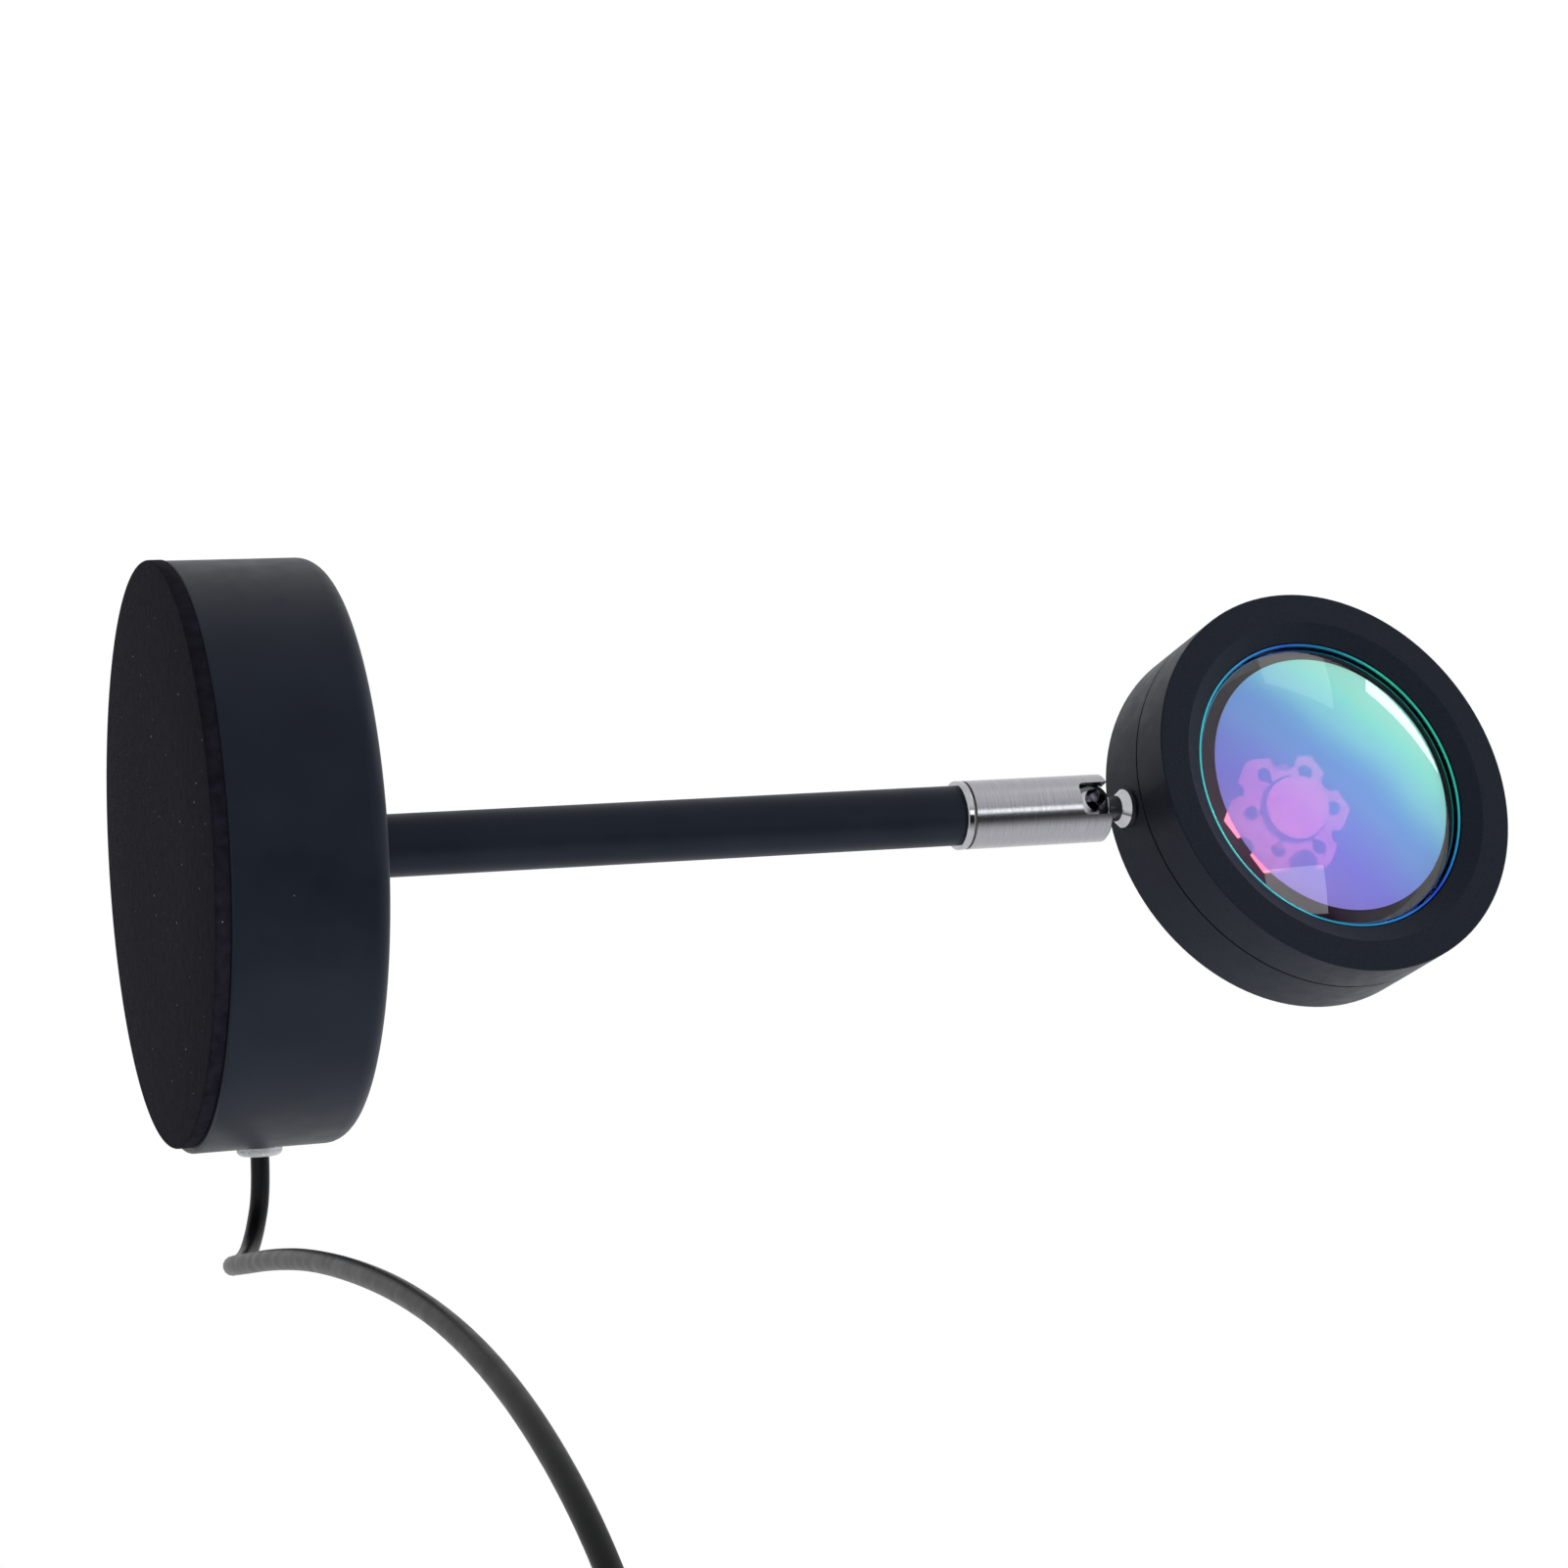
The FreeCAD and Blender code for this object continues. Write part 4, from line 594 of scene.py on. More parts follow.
# Cord
# One 1.5 m lead: out of the base, down to the table, through the inline switch, round the stored
# coil and into the plug. Points in millimetres, the same route as the construction's.
cord = {
    "diameter": 3.2,
    "length": 1521.0,
    "exit": (51.6, 0, 15.5),
    "lead": [
        (51.6, 0, 15.5), (57.8, 0, 15.5), (63.6, -3.0, 13.7), (67.0, -9.0, 11.05), (67.0, -17.4, 7.85),
        (65.6, -26.5, 4.94), (63.4, -38.5, 2.57), (60.6, -54.0, 1.6), (56.8, -74.0, 1.6), (52.9, -99.0, 1.6),
        (50.0, -127.0, 1.6), (48.4, -155.0, 1.6), (48.8, -182.0, 1.6), (51.9, -207.0, 1.6),
        (58.0, -229.0, 1.6), (66.5, -246.0, 1.6), (77.0, -256.5, 1.6), (87.0, -256.0, 1.82),
        (93.4, -248.6, 2.6), (95.3, -239.0, 4.21), (95.3, -230.8, 5.52), (95.0, -224.2, 5.95),
        (95.0, -218.4, 5.95), (95.0, -205.0, 5.95), (95.0, -190.0, 5.95), (95.0, -175.0, 5.95),
        (95.0, -160.0, 5.95), (95.0, -149.0, 5.95),
    ],
    "tail": [
        (0, 0, 0), (0, -5.4, 0), (0.6, -11.8, 0.5), (1.9, -18.6, 1.4), (2.8, -24.8, 2.0), (2.8, -30.4, 2.0),
    ],
    "high": 5.95,
    "low": 2.3,
    "outer": 26.0,
    "pitch": 3.7,
    "halfTurns": 9,
    "perHalf": 8,
    "start": (95.0, -139.0),
}


def coilPoints():
    # half turns of changing radius, in on the upper layer and out on the lower
    count = cord["perHalf"]
    swell = 1 / math.cos(math.pi / count / 2)
    step = cord["pitch"] / 2
    radii = [cord["outer"] - step * k for k in range(cord["halfTurns"])]
    x, y = cord["start"]
    points = []
    sideNow = -1
    inner = radii[-1] - step
    for index, radius in enumerate(radii + [inner] + radii[::-1]):
        centre = x - sideNow * radius
        for k in range(count):
            turn = math.pi * (k + 0.5) / count
            across = centre + sideNow * radius * swell * math.cos(turn)
            along = y - sideNow * radius * swell * math.sin(turn)
            if index == len(radii):
                level = cord["high"] + (cord["low"] - cord["high"]) * (k + 0.5) / count
            else:
                level = cord["high"] if index < len(radii) else cord["low"]
            points.append((across, along, level))
        x = centre - sideNow * radius
        sideNow = -sideNow
    return points, (x, y, cord["low"])


def makeCord():
    turns, last = coilPoints()
    end = (last[0], last[1] - cord["diameter"], last[2])
    tail = [(end[0] + a, end[1] + b, end[2] + c) for a, b, c in cord["tail"]]
    points = cord["lead"] + turns + [last] + tail
    curve = bpy.data.curves.new("usb_cord", "CURVE")
    curve.dimensions = "3D"
    curve.bevel_depth = cord["diameter"] / 2 * mm
    curve.bevel_resolution = 5
    curve.resolution_u = 8
    curve.use_fill_caps = True
    spline = curve.splines.new("NURBS")
    spline.points.add(len(points) - 1)
    for point, (x, y, z) in zip(spline.points, points):
        point.co = (x * mm, y * mm, z * mm, 1)
    spline.order_u = 3
    spline.use_endpoint_u = True
    piece = bpy.data.objects.new("usb_cord", curve)
    bpy.context.scene.collection.objects.link(piece)
    curve.materials.append(finishes["sheath"])
    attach(piece, "base")
    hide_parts("cord_lead", "cord_coil", "cord_tail")
    return piece, tail[-1]


usbCord, plugEnd = makeCord()
print("cord made")


# Inline switch
switch = {
    "middle": (95.0, -192.3),
    "length": 52.2,
    "width": 19.0,
    "corner": 4.8,
    "split": 5.4,
    "seam": 0.15,
    "top": 11.9,
    "lowRound": 1.4,
    "highRound": 2.2,
    "button": (13.0, 8.0, 3.2),
    "sunk": 0.35,
    "ribs": 5,
    "ribPitch": 2.0,
    # a groove, then the well: how much larger than the button, corner radius and depth
    "steps": [(3.8, 1.4, 0), (3.4, 1.2, 0.3), (3.0, 1.0, 0.3), (2.6, 0.8, 0), (0.4, 0.7, 0), (0.4, 0.7, 3.2)],
    "collar": {"bore": 1.68, "rings": 4, "first": 0.0, "pitch": 1.5, "reach": 3.4, "taper": -0.32,
               "ring": 0.9, "groove": 0.7, "length": 6.0},
    "screws": (-17, 17),
}
switchSpot = Matrix.Translation((*switch["middle"], 0))
switchPlace = tablePlace @ switchSpot @ Matrix.Rotation(math.radians(90), 4, "Z")


def domedHalf(foot, height, rounded, up=True, loops=()):
    # half of the case: straight sides, a rounded rim, then any inner outlines joined on in turn
    mesh = bmesh.new()
    x, y = switch["length"] / 2, switch["width"] / 2
    outline = roundedOutline(-x, x, -y, y, switch["corner"], 6)
    level = foot if up else foot + height
    way = 1 if up else -1
    face = mesh.faces.new([mesh.verts.new((x, y, level)) for x, y in outline])
    straight = bmesh.ops.extrude_face_region(mesh, geom=[face])
    cap = [item for item in straight["geom"] if isinstance(item, bmesh.types.BMVert)]
    bmesh.ops.translate(mesh, vec=(0, 0, way * (height - rounded)), verts=cap)
    steps = 6
    for step in range(steps):
        a, b = math.radians(90 * step / steps), math.radians(90 * (step + 1) / steps)
        inward, upward = rounded * (math.cos(a) - math.cos(b)), rounded * (math.sin(b) - math.sin(a))
        old = [f for f in mesh.faces if all(v in cap for v in f.verts)]
        raised = bmesh.ops.extrude_face_region(mesh, geom=old)
        bmesh.ops.delete(mesh, geom=[f for f in old if f.is_valid], context="FACES_ONLY")
        cap = [item for item in raised["geom"] if isinstance(item, bmesh.types.BMVert)]
        bmesh.ops.translate(mesh, vec=(0, 0, way * upward), verts=cap)
        reach = max(v.co.x for v in cap)
        wide = max(v.co.y for v in cap)
        bmesh.ops.scale(mesh, vec=((reach - inward) / reach, (wide - inward) / wide, 1), verts=cap)
    if loops:
        top = [f for f in mesh.faces if all(v in cap for v in f.verts)]
        rim = sorted(top[0].verts, key=lambda v: math.atan2(v.co.y, v.co.x) % math.tau)
        bmesh.ops.delete(mesh, geom=top, context="FACES_ONLY")
        for length, width, corner, z in loops:
            inner = roundedOutline(-length / 2, length / 2, -width / 2, width / 2, corner, 6)
            ring = [mesh.verts.new((x, y, z)) for x, y in inner]
            for i in range(len(ring)):
                mesh.faces.new((rim[i - 1], rim[i], ring[i], ring[i - 1]))
            rim = ring
        mesh.faces.new(rim)
    return mesh


def makeSwitch():
    top, seam = switch["top"], switch["seam"]
    length, width, tall = switch["button"]
    low = domedHalf(0.0, switch["split"] - seam, switch["lowRound"], up=False)
    loops = [(length + grow, width + grow, corner, top - deep) for grow, corner, deep in switch["steps"]]
    high = domedHalf(switch["split"] + seam, top - switch["split"] - seam, switch["highRound"], loops=loops)
    key = blockShape((length, width, tall), (0, 0, top - switch["sunk"]), 0.55, 4)
    for index in range(switch["ribs"]):
        across = (index - (switch["ribs"] - 1) / 2) * switch["ribPitch"]
        joinShapes(key, blockShape((0.7, width - 2.6, 0.5), (across, 0, top + 1.25), 0.22, 3))
    black = ("abs", "base", "switch_plastic")
    pieces = [
        finishPiece("switch_lower_case", low, *black, ["switch_base"], switchPlace),
        finishPiece("switch_upper_case", high, *black, ["switch_cover"], switchPlace),
        finishPiece("switch_push_button", key, "button", "switch_button", "button_plastic",
                    ["switch_button"], switchPlace),
    ]

    # ribbed collars where the cord enters and leaves
    (x, y), collar = switch["middle"], switch["collar"]
    profile = ribbedSleeve(collar) + [(collar["bore"], collar["length"])]
    for name, end, turn in (("switch_collar_in", -1, 90), ("switch_collar_out", 1, -90)):
        mesh = turnedShape(profile, 48)
        spot = Matrix.Translation((x, y + end * (switch["length"] / 2 - 0.6), cord["high"]))
        place = tablePlace @ spot @ Matrix.Rotation(math.radians(turn), 4, "X")
        pieces.append(finishPiece(name, mesh, *black, (), place, bevel=0.12))

    # two small screws under the case
    for index, across in enumerate(switch["screws"]):
        mesh = turnedShape([(0, 0.05), (1.9, 0.05), (1.9, 0.5), (0, 0.5)], 40)
        place = switchPlace @ Matrix.Translation((across, 0, 0))
        finishPiece(f"switch_screw_{index}", mesh, "zinc", "base", "zinc_plate", (), place, bevel=0.1)
    return pieces


switchPieces = makeSwitch()


# Plug
plug = {
    "relief": 9.0,
    "grip": 25.0,
    "width": 16.0,
    "height": 8.6,
    "ribs": 6,
    "ribPitch": 1.9,
    "shell": 12.0,
    "shellWidth": 12.0,
    "shellHeight": 4.5,
    "skin": 0.3,
    "windowAlong": (4.2, 6.6),
    "windowAcross": (1.5, 3.9),
    "contacts": (-3.5, -1.0, 1.0, 3.5),
    "sleeve": {"bore": 1.66, "rings": 5, "first": 0.2, "pitch": 1.75, "reach": 2.35, "taper": 0.22,
               "ring": 1.15, "groove": 0.55},
    "sleeveEnd": 3.0,
    "overlap": 0.8,
}
plugPlace = tablePlace @ Matrix.Translation(plugEnd) @ Matrix.Rotation(math.radians(-90), 4, "Z")


def makeShell(root):
    # folded shell: a rounded tube with two windows in each wide side
    length, width, height = plug["shell"], plug["shellWidth"], plug["shellHeight"]
    tube = blockShape((length + 1.0, width, height), (root + length / 2 - 0.5, 0, 0), 0.5, 3, axis=0)
    ends = [f for f in tube.faces if abs(f.normal.x) > 0.9]
    bmesh.ops.delete(tube, geom=ends, context="FACES_ONLY")
    start, stop = plug["windowAlong"]
    near, far = plug["windowAcross"]
    cuts = [((root + along, 0, 0), (1, 0, 0)) for along in (start, stop)]
    cuts += [((0, across, 0), (0, 1, 0)) for across in (-far, -near, near, far)]
    for spot, normal in cuts:
        everything = tube.verts[:] + tube.edges[:] + tube.faces[:]
        bmesh.ops.bisect_plane(tube, geom=everything, plane_co=spot, plane_no=normal)
    windows = []
    for face in tube.faces:
        middle = face.calc_center_median()
        inside = start < middle.x - root < stop and near < abs(middle.y) < far
        if abs(face.normal.z) > 0.9 and inside:
            windows.append(face)
    bmesh.ops.delete(tube, geom=windows, context="FACES_ONLY")
    bmesh.ops.recalc_face_normals(tube, faces=tube.faces)
    bmesh.ops.solidify(tube, geom=tube.faces[:], thickness=plug["skin"])
    return tube


def makePlug():
    # segmented relief: rings that grow towards the grip
    sleeve, end, inside = plug["sleeve"], plug["sleeveEnd"], plug["relief"] + plug["overlap"]
    profile = ribbedSleeve(sleeve) + [(end, plug["relief"]), (end, inside), (sleeve["bore"], inside)]
    relief = turnedShape(profile, 56)
    lying = Matrix.Rotation(math.radians(90), 3, "Y")
    bmesh.ops.rotate(relief, cent=(0, 0, 0), matrix=lying, verts=relief.verts)

    middle = plug["relief"] + plug["grip"] / 2
    grip = blockShape((plug["grip"], plug["width"], plug["height"]), (middle, 0, 0), 1.9, 5)
    for sideWay in (1, -1):
        for index in range(plug["ribs"]):
            along = plug["relief"] + 4.5 + index * plug["ribPitch"]
            spot = (along, sideWay * (plug["width"] / 2 - 0.25), 0)
            joinShapes(grip, blockShape((0.9, 0.5, plug["height"] - 3.8), spot, 0.2, 2))

    root = plug["relief"] + plug["grip"]
    shellMiddle = root + plug["shell"] / 2
    blade = blockShape((plug["shell"] + 0.4, 10.8, 1.8), (shellMiddle - 0.4, 0, -1.0), 0.12, 2)
    pieces = [
        finishPiece("plug_relief", relief, "abs", "base", "switch_plastic", (), plugPlace, bevel=0.12),
        finishPiece("plug_body", grip, "abs", "base", "switch_plastic", ["plug_grip"], plugPlace),
        finishPiece("plug_metal_shell", makeShell(root), "tin", "base", "bright_plate", ["plug_shell"],
                    plugPlace),
        finishPiece("plug_tongue_blade", blade, "tongue", "base", "tongue_plastic",
                    ["plug_contact_tongue"], plugPlace),
    ]
    for index, across in enumerate(plug["contacts"]):
        strip = blockShape((plug["shell"] - 2.0, 1.1, 0.16), (shellMiddle - 0.2, across, -0.06), 0.05, 2)
        name = f"plug_contact_{index}"
        pieces.append(finishPiece(name, strip, "gold", "base", "bright_plate", (), plugPlace))
    return pieces


plugPieces = makePlug()
print("switch and plug made")


# Strap round the coil
strap = {
    "near": 7.6,
    "far": 29.5,
    "low": 0.6,
    "high": 7.65,
    "corner": 0.9,
    "thick": 0.6,
    "width": 6.0,
    "middle": (121.925, -139.0),
    "tab": (9.0, 5.7, 0.5),
    "tabMiddle": 17.0,
}
strapSpot = Matrix.Translation((*strap["middle"], 0))
strapPlace = tablePlace @ strapSpot @ Matrix.Rotation(math.radians(90), 4, "Z")


def makeStrap():
    # a flat loop seen from the side, rounded at its corners, as wide as the strap
    grow = strap["thick"] - 0.02
    near, far = strap["near"] - grow, strap["far"] + grow
    outline = roundedOutline(near, far, strap["low"] - grow, strap["high"] + grow, strap["corner"], 5)
    loop = bmesh.new()
    ring = [loop.verts.new((x, -strap["width"] / 2, z)) for x, z in outline]
    edges = [loop.edges.new(pair) for pair in zip(ring, ring[1:] + ring[:1])]
    raised = bmesh.ops.extrude_edge_only(loop, edges=edges)
    moved = [item for item in raised["geom"] if isinstance(item, bmesh.types.BMVert)]
    bmesh.ops.translate(loop, vec=(0, strap["width"], 0), verts=moved)
    bmesh.ops.remove_doubles(loop, verts=loop.verts, dist=1e-4)
    bmesh.ops.recalc_face_normals(loop, faces=loop.faces)
    bmesh.ops.solidify(loop, geom=loop.faces[:], thickness=strap["thick"] - 0.05)
    finishPiece("coil_strap", loop, "strap", "base", "tie_strap", ["coil_tie"], strapPlace, bevel=0.1)
    tab = blockShape(strap["tab"], (strap["tabMiddle"], 0, strap["high"] + strap["thick"] + 0.2), 0.2, 2)
    finishPiece("coil_strap_tab", tab, "strap", "base", "tie_strap", (), strapPlace)


makeStrap()


# Base
pad = {"radius": 49.58, "thick": 2.5, "edge": 0.45, "shift": -0.6}


def makePad():
    radius, thick, edge = pad["radius"], pad["thick"], pad["edge"]
    profile = [(0, 0), (radius * 0.5, 0)] + arcPoints((radius - edge, edge), edge, -90, 0, 5)
    profile += [(radius, thick - 0.1), (radius - 0.1, thick), (radius * 0.5, thick), (0, thick)]
    mesh = turnedShape(profile, 220, closed=False)
    place = tablePlace @ Matrix.Translation((pad["shift"], 0, 0))
    finishPiece("foam_disc", mesh, "foam", "base", "foam", ["foam_pad"], place, sharp=50)


makePad()

bush = {"face": 50.0, "level": 15.5, "bore": 1.66, "lip": 3.9, "reach": 1.58, "neck": 2.6}


def makeBush():
    lip, reach, neck, bore = bush["lip"], bush["reach"], bush["neck"], bush["bore"]
    profile = [(bore, -3.2), (3.5, -3.2), (3.5, -1.95), (neck, -1.95), (neck, 0.03)]
    profile += [(lip, 0.03), (lip, reach * 0.45)]
    profile += arcPoints((lip - 0.85, reach - 0.85), 0.85, 0, 90, 6)
    profile += [(bore + 0.35, reach), (bore, reach - 0.3)]
    mesh = turnedShape(profile, 72)
    spot = Matrix.Translation((bush["face"], 0, bush["level"]))
    place = tablePlace @ spot @ Matrix.Rotation(math.radians(90), 4, "Y")
    finishPiece("cord_entry_bush", mesh, "bush", "base", "bush_plastic", ["cord_bush"], place)


makeBush()


# Head
lens = {
    "radius": 85.0,
    "rise": 1.7,
    "dome": 28.7,
    "flange": 31.0,
    "front": -3.4,
    "back": -7.4,
    "film": 25.4,
    "filmDepths": (0.08, 0.12),
    # name, radius, level and thickness of each bright line at the coated edge
    "rimLines": [("lens_rim_line", 28.5, -2.5, 0.34), ("lens_rim_line_inner", 27.6, -3.72, 0.22)],
}


def domeLine(reach, depth):
    # the dome's outline from its middle out to one radius, sunk by a depth
    centre = lens["rise"] - lens["radius"] - depth
    radii = [reach * step / 32 for step in range(33)]
    return [(r, centre + math.sqrt(lens["radius"] ** 2 - r ** 2)) for r in radii]


def makeLens():
    # a shallow dome on a flat flange, polished all over, with the film just under its skin
    front, back, flange = lens["front"], lens["back"], lens["flange"]
    edge = [(lens["dome"], front), (flange, front), (flange, back), (0, back)]
    mesh = turnedShape(domeLine(lens["dome"], 0) + edge, 200, closed=False)
    glass = finishPiece("lens_glass", mesh, "lens", "head", "coated_glass", ["lens"], headPlace, sharp=25)
    upper, lower = [domeLine(lens["film"], depth) for depth in lens["filmDepths"]]
    film = turnedShape(upper + lower[::-1], 160, closed=False)
    coat = finishPiece("lens_film", film, "film", "head", "coated_glass", (), headPlace, sharp=25)
    # light passes the glass on its way in
    glass.visible_shadow = False
    coat.visible_shadow = False


def makeRimLines():
    for name, radius, level, thick in lens["rimLines"]:
        mesh = turnedShape(arcPoints((radius, level), thick, 0, 330, 11), 180)
        finishPiece(name, mesh, "rimFilm", "head", "coated_glass", (), headPlace)


filterDisc = {"radius": 30.9, "front": -9.02, "back": -10.05}


def makeFilter():
    radius, front, back = filterDisc["radius"], filterDisc["front"], filterDisc["back"]
    body = turnedShape([(0, front), (radius, front), (radius, back), (0, back)], 160, closed=False)
    slot, node = "filter_glass", ["colour_filter"]
    disc = finishPiece("filter_glass_disc", body, "filter", "head", slot, node, headPlace)
    disc.visible_shadow = False


star = {"flats": 19.0, "thick": 1.6, "floor": -18.2, "notch": 1.7, "pads": 7.6, "tracks": 5.6}


def makeStarBoard():
    # a six-sided board with a round notch in each side, solder pads near its corners
    flats, notch = star["flats"] / 2, star["notch"]
    reach = flats / math.cos(math.radians(30))
    outline = []
    for corner in range(6):
        turn, middle = math.radians(60 * corner), math.radians(60 * corner + 30)
        outline.append((reach * math.cos(turn), reach * math.sin(turn)))
        spot = (flats * math.cos(middle), flats * math.sin(middle))
        outline += arcPoints(spot, notch, 60 * corner - 60, 60 * corner - 240, 10)
    mesh = outlineShape(outline, star["floor"], star["thick"])
    finishPiece("star_board", mesh, "boardWhite", "head", "board_white", ["led_board"], headPlace, bevel=0.12)
    top = star["floor"] + star["thick"]
    for corner in range(6):
        turn = math.radians(60 * corner)
        spot = Matrix.Translation((star["pads"] * math.cos(turn), star["pads"] * math.sin(turn), top))
        # two pads are soldered, the others bare
        finish, height = ("solder", 0.75) if corner in (0, 3) else ("gold", 0.08)
        profile = [(0, 0), (1.25, 0), (1.2, height * 0.35), (0.8, height * 0.85), (0, height)]
        pad = turnedShape(profile, 36, closed=False)
        finishPiece(f"star_pad_{corner}", pad, finish, "head", "board_white", (), headPlace @ spot)
        strip = blockShape((2.6, 0.7, 0.07), (star["tracks"], 0, top + 0.03))
        turned = headPlace @ Matrix.Rotation(turn, 4, "Z")
        finishPiece(f"star_track_{corner}", strip, "gold", "head", "board_white", (), turned)


emitter = {"foot": -16.6, "base": 5.8, "bore": 4.2, "ledge": 0.9, "dome": 5.4, "bulge": 0.74}


def makeEmitter():
    foot, base, bore, ledge = emitter["foot"], emitter["base"], emitter["bore"], emitter["ledge"]
    dome, tall = emitter["dome"], emitter["dome"] * emitter["bulge"]
    frameProfile = [(bore, foot), (base, foot), (base, foot + ledge * 0.7), (base - 0.4, foot + ledge)]
    frameProfile += [(bore, foot + ledge), (bore - 0.3, foot + 0.35)]
    frameMesh = turnedShape(frameProfile, 80)
    finishPiece("emitter_frame", frameMesh, "tongue", "head", "emitter_silicone", (), headPlace)
    glow = turnedShape([(0, foot), (4.1, foot), (3.85, foot + 0.5), (0, foot + 0.55)], 64, closed=False)
    finishPiece("emitter_phosphor", glow, "phosphor", "head", "emitter_silicone", (), headPlace)
    turns = [math.radians(degrees) for degrees in range(0, 90, 6)]
    profile = [(0, foot + 0.6), (3.8, foot + 0.6), (4.15, foot + ledge)]
    profile += [(dome * math.cos(turn), foot + ledge + tall * math.sin(turn)) for turn in turns]
    clear = turnedShape(profile + [(0, foot + ledge + tall)], 80, closed=False)
    slot, node = "emitter_silicone", ["led_emitter"]
    finishPiece("emitter_dome_lens", clear, "silicone", "head", slot, node, headPlace)


def makeBoardScrews():
    # pan heads in two of the notches; their cross is not cut but painted shade, two matte black bars laid in
    # each head
    for index, way in enumerate((1, -1)):
        level = emitter["foot"]
        profile = [(0, level), (2.35, level), (2.4, level + 0.5), (1.9, level + 1.15)]
        profile += [(0.9, level + 1.38), (0, level + 1.4)]
        head = turnedShape(profile, 48, closed=False)
        shank = turnedShape([(0, -20.3), (1.4, -20.3), (1.4, level), (0, level)], 40, closed=False)
        joinShapes(head, shank)
        spot = headPlace @ Matrix.Translation((0, way * star["flats"] / 2, 0))
        name = f"board_screw_{index}"
        finishPiece(name, head, "zinc", "head", "zinc_plate", ["board_screws"] if index == 0 else (), spot)
        for turn in (20, 110):
            # painted shade: a matte black bar stands for the shade down one arm of the cross
            shadeBar = blockShape((2.3, 0.45, 0.3), (0, 0, level + 1.3), 0.08, 2)
            cross = spot @ Matrix.Rotation(math.radians(turn), 4, "Z")
            finishPiece(f"{name}_recess_shade_{turn}", shadeBar, "inside", "head", "zinc_plate", (), cross)


makeLens()
makeRimLines()
makeFilter()
makeStarBoard()
makeEmitter()
makeBoardScrews()
print("head made")


# Finishes on the construction's own pieces
nodeFinishes = {
    "powderCoat": ["base_shell", "stem_tube"],
    "iron": ["base_weight"],
    "zinc": ["base_plate", "threaded_posts", "base_screws", "stem_nipple", "nipple_washer", "nipple_nut",
             "swivel_lock_ring", "stud_washer", "stud_nut"],
    "nylon": ["lead_stop", "swivel_glide", "ball_seat"],
    "sheath": ["inner_lead"],
    "polished": ["swivel_post", "ball_stud"],
    "brushed": ["barrel"],
    "spring": ["lower_disc_spring", "upper_disc_spring"],
    "anodised": ["rear_housing", "front_bezel", "lens_retainer"],
    "rubber": ["lens_gasket"],
    "inside": ["light_shroud"],
    "thermal": ["thermal_pad"],
    "boardGreen": ["driver_board"],
    "redWire": ["head_wires"],
    "phenolic": ["switch_contact"],
}
for key, names in nodeFinishes.items():
    for name in names:
        for slotOfNode in nodes[name].material_slots:
            slotOfNode.material = finishes[key]


# Floor, world and lamps
# The paper gives part of the light itself, so it stays white and still takes a soft shadow. Only the
# camera sees it, and only from above.
floor = {"size": 1.2, "level": -0.0004, "color": "#f4f4f5", "glow": 1.3}


def makeFloor():
    mesh = bmesh.new()
    bmesh.ops.create_grid(mesh, x_segments=1, y_segments=1, size=floor["size"] / 2)
    bmesh.ops.translate(mesh, vec=(0, 0, floor["level"]), verts=mesh.verts)
    data = bpy.data.meshes.new("floor")
    mesh.to_mesh(data)
    mesh.free()
    plane = bpy.data.objects.new("floor", data)
    bpy.context.scene.collection.objects.link(plane)
    material = bpy.data.materials.new("white paper floor")
    material.use_nodes = True
    tree = material.node_tree
    paper = tree.nodes["Principled BSDF"]
    paper.inputs["Base Color"].default_value = toLinear(floor["color"])
    paper.inputs["Roughness"].default_value = 0.9
    paper.inputs["Specular IOR Level"].default_value = 0.1
    rays = addNode(tree, "ShaderNodeLightPath")
    sides = addNode(tree, "ShaderNodeNewGeometry")
    front = addNode(tree, "ShaderNodeMath", {0: 1.0, 1: sides.outputs["Backfacing"]}, operation="SUBTRACT")
    seen = {0: rays.outputs["Is Camera Ray"], 1: front.outputs[0]}
    shown = addNode(tree, "ShaderNodeMath", seen, operation="MULTIPLY").outputs[0]
    bright = addNode(tree, "ShaderNodeEmission", {"Color": (1, 1, 1, 1), "Strength": floor["glow"]})
    lit = addNode(tree, "ShaderNodeMixShader", {0: 0.5, 1: paper.outputs[0], 2: bright.outputs[0]})
    clear = addNode(tree, "ShaderNodeBsdfTransparent")
    both = addNode(tree, "ShaderNodeMixShader", {0: shown, 1: clear.outputs[0], 2: lit.outputs[0]})
    tree.links.new(both.outputs[0], tree.nodes["Material Output"].inputs["Surface"])
    data.materials.append(material)


# White all round for the camera; mirrors and glass see the same white with one dark patch in it, which
# puts the dark band on the barrel.
room = {
    "level": 0.42,
    "darkWay": (0.12, -0.93, 0.345),
    "stops": [(0.6, 1.0), (0.8, 0.88), (0.92, 0.42), (0.972, 0.02)],
}


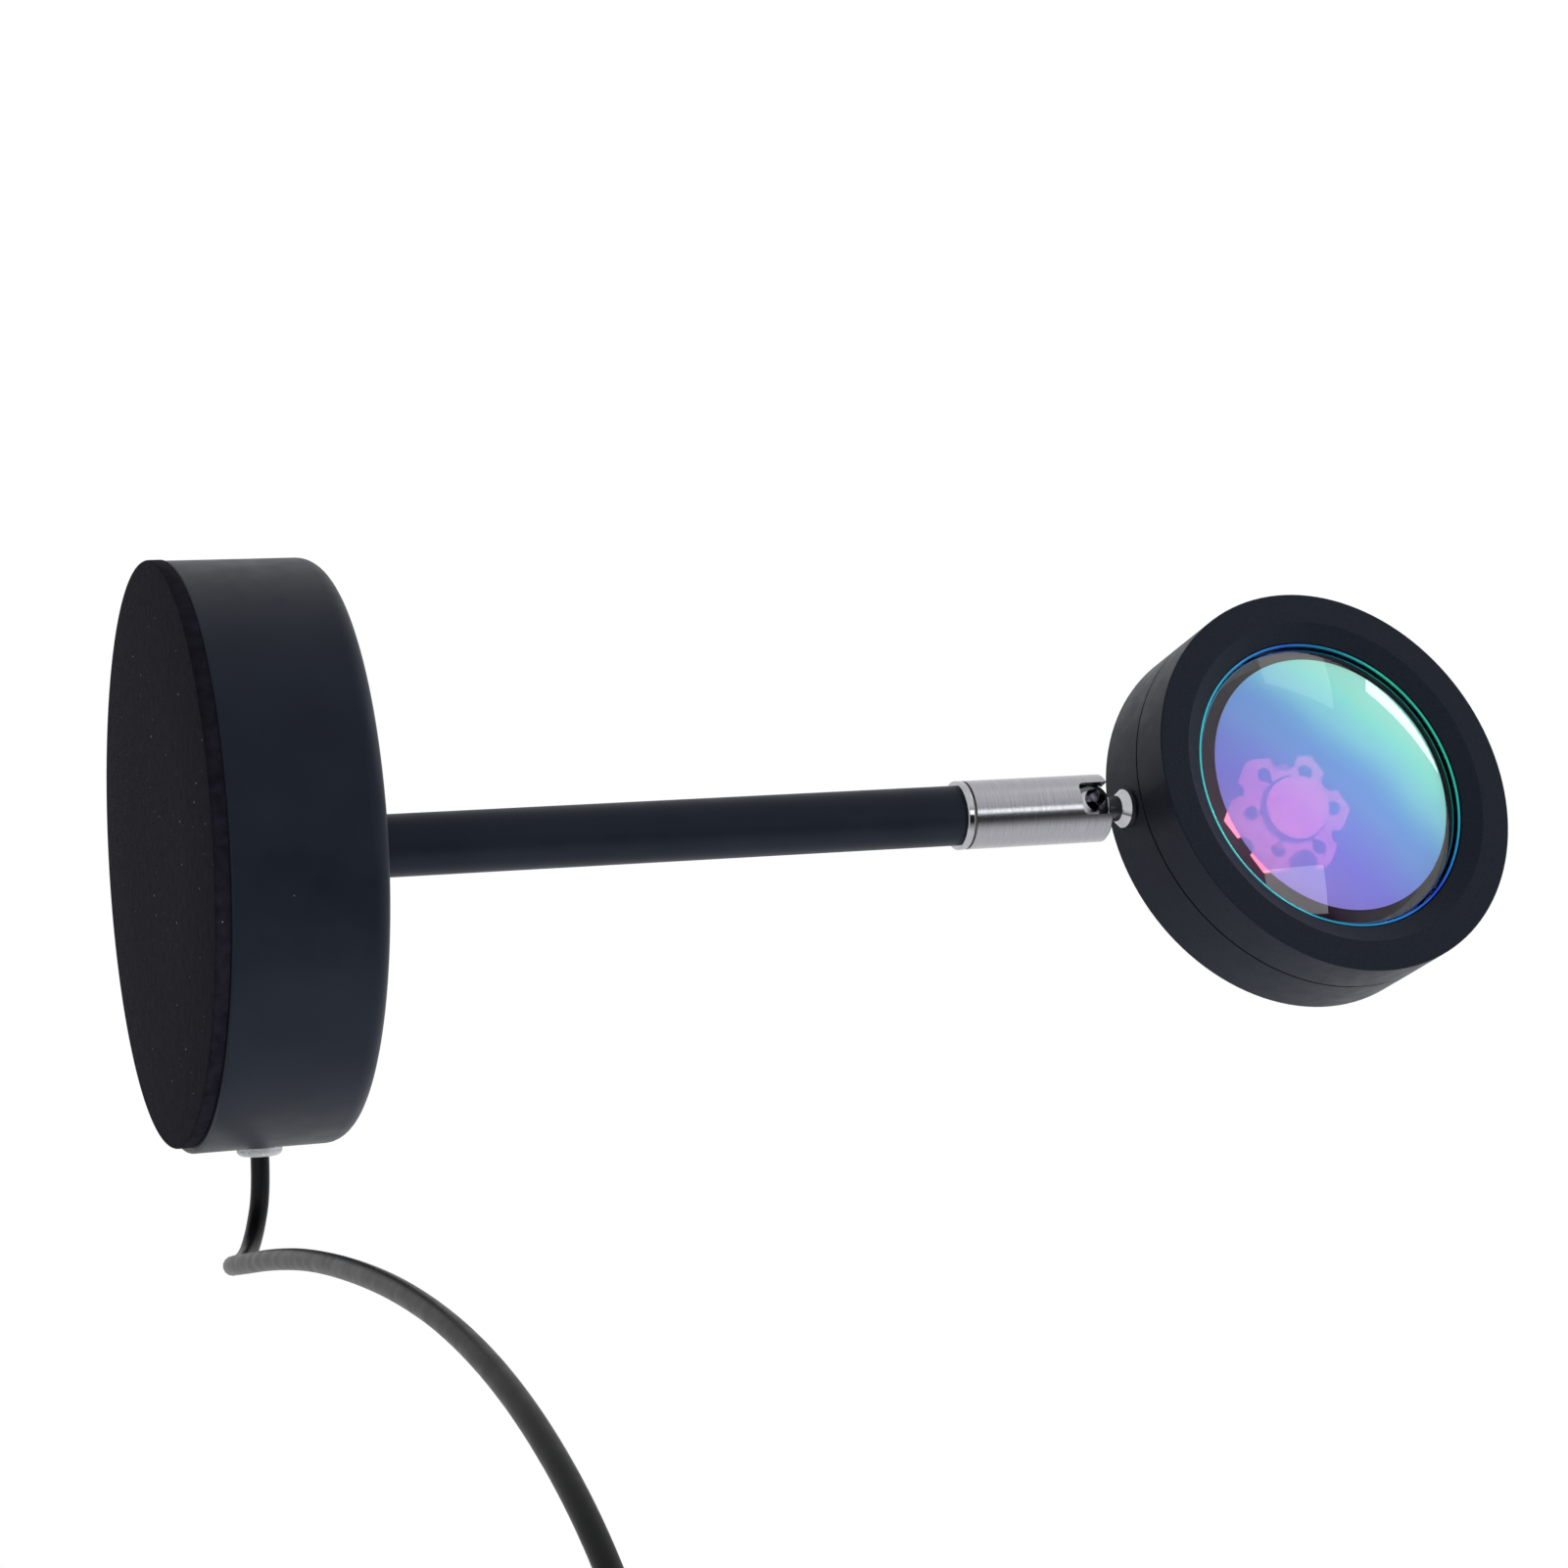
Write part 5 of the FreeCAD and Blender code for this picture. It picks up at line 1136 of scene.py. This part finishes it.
def makeWorld():
    world = bpy.data.worlds.new("studio")
    bpy.context.scene.world = world
    world.use_nodes = True
    tree = world.node_tree
    tree.nodes.clear()
    way = addNode(tree, "ShaderNodeTexCoord").outputs["Generated"]
    dot = {0: way, 1: room["darkWay"]}
    near = addNode(tree, "ShaderNodeVectorMath", dot, operation="DOT_PRODUCT").outputs["Value"]
    mirrored = fillRamp(addNode(tree, "ShaderNodeValToRGB", {"Fac": near}), room["stops"])
    rays = addNode(tree, "ShaderNodeLightPath")
    plain = addNode(tree, "ShaderNodeBackground", {"Color": (1, 1, 1, 1), "Strength": room["level"]})
    mirror = addNode(tree, "ShaderNodeBackground", {"Color": mirrored, "Strength": 1.0})
    white = addNode(tree, "ShaderNodeBackground", {"Color": (1, 1, 1, 1), "Strength": 1.0})
    bounced = {0: rays.outputs["Is Glossy Ray"], 1: rays.outputs["Is Transmission Ray"]}
    shiny = addNode(tree, "ShaderNodeMath", bounced, operation="MAXIMUM").outputs[0]
    light = {0: shiny, 1: plain.outputs[0], 2: mirror.outputs[0]}
    first = addNode(tree, "ShaderNodeMixShader", light).outputs[0]
    direct = {0: rays.outputs["Is Camera Ray"], 1: first, 2: white.outputs[0]}
    second = addNode(tree, "ShaderNodeMixShader", direct)
    out = addNode(tree, "ShaderNodeOutputWorld")
    tree.links.new(second.outputs[0], out.inputs["Surface"])


# Softboxes: the way each lies from the lamp, its distance, width and height, and its power. The fills
# are kept out of the mirrors' sight.
softboxes = {
    "overhead": {"way": (-0.46, 0.02, 0.888), "far": 0.9, "size": (0.08, 0.27), "watts": 0.5},
    "ceiling": {"way": (-0.2, 0.3, 0.93), "far": 1.2, "size": (0.8, 0.8), "watts": 2.5, "fill": True},
    "window": {"way": (-0.17, -0.88, 0.44), "far": 1.0, "size": (0.2, 0.3), "watts": 0.6},
    "upperSide": {"way": (-0.78, -0.12, 0.61), "far": 1.1, "size": (0.3, 0.3), "watts": 0.35},
    "lowerSide": {"way": (0.78, -0.6, 0.18), "far": 1.1, "size": (0.6, 0.6), "watts": 7.0, "fill": True},
    "frontFill": {"way": (-0.3, -0.75, -0.6), "far": 1.2, "size": (0.7, 0.7), "watts": 0.5, "fill": True},
}
aim = Vector((0.0, 0.0, 0.13))


def makeLamps():
    for name, box in softboxes.items():
        data = bpy.data.lights.new(name, "AREA")
        data.shape = "RECTANGLE"
        data.size, data.size_y = box["size"]
        data.energy = box["watts"]
        lamp = bpy.data.objects.new(name, data)
        lamp.visible_glossy = "fill" not in box
        bpy.context.scene.collection.objects.link(lamp)
        way = Vector(box["way"]).normalized()
        turn = (-way).to_track_quat("-Z", "Y").to_matrix().to_4x4()
        lamp.matrix_world = Matrix.Translation(aim + way * box["far"]) @ turn


makeFloor()
makeWorld()
makeLamps()
print("studio made")
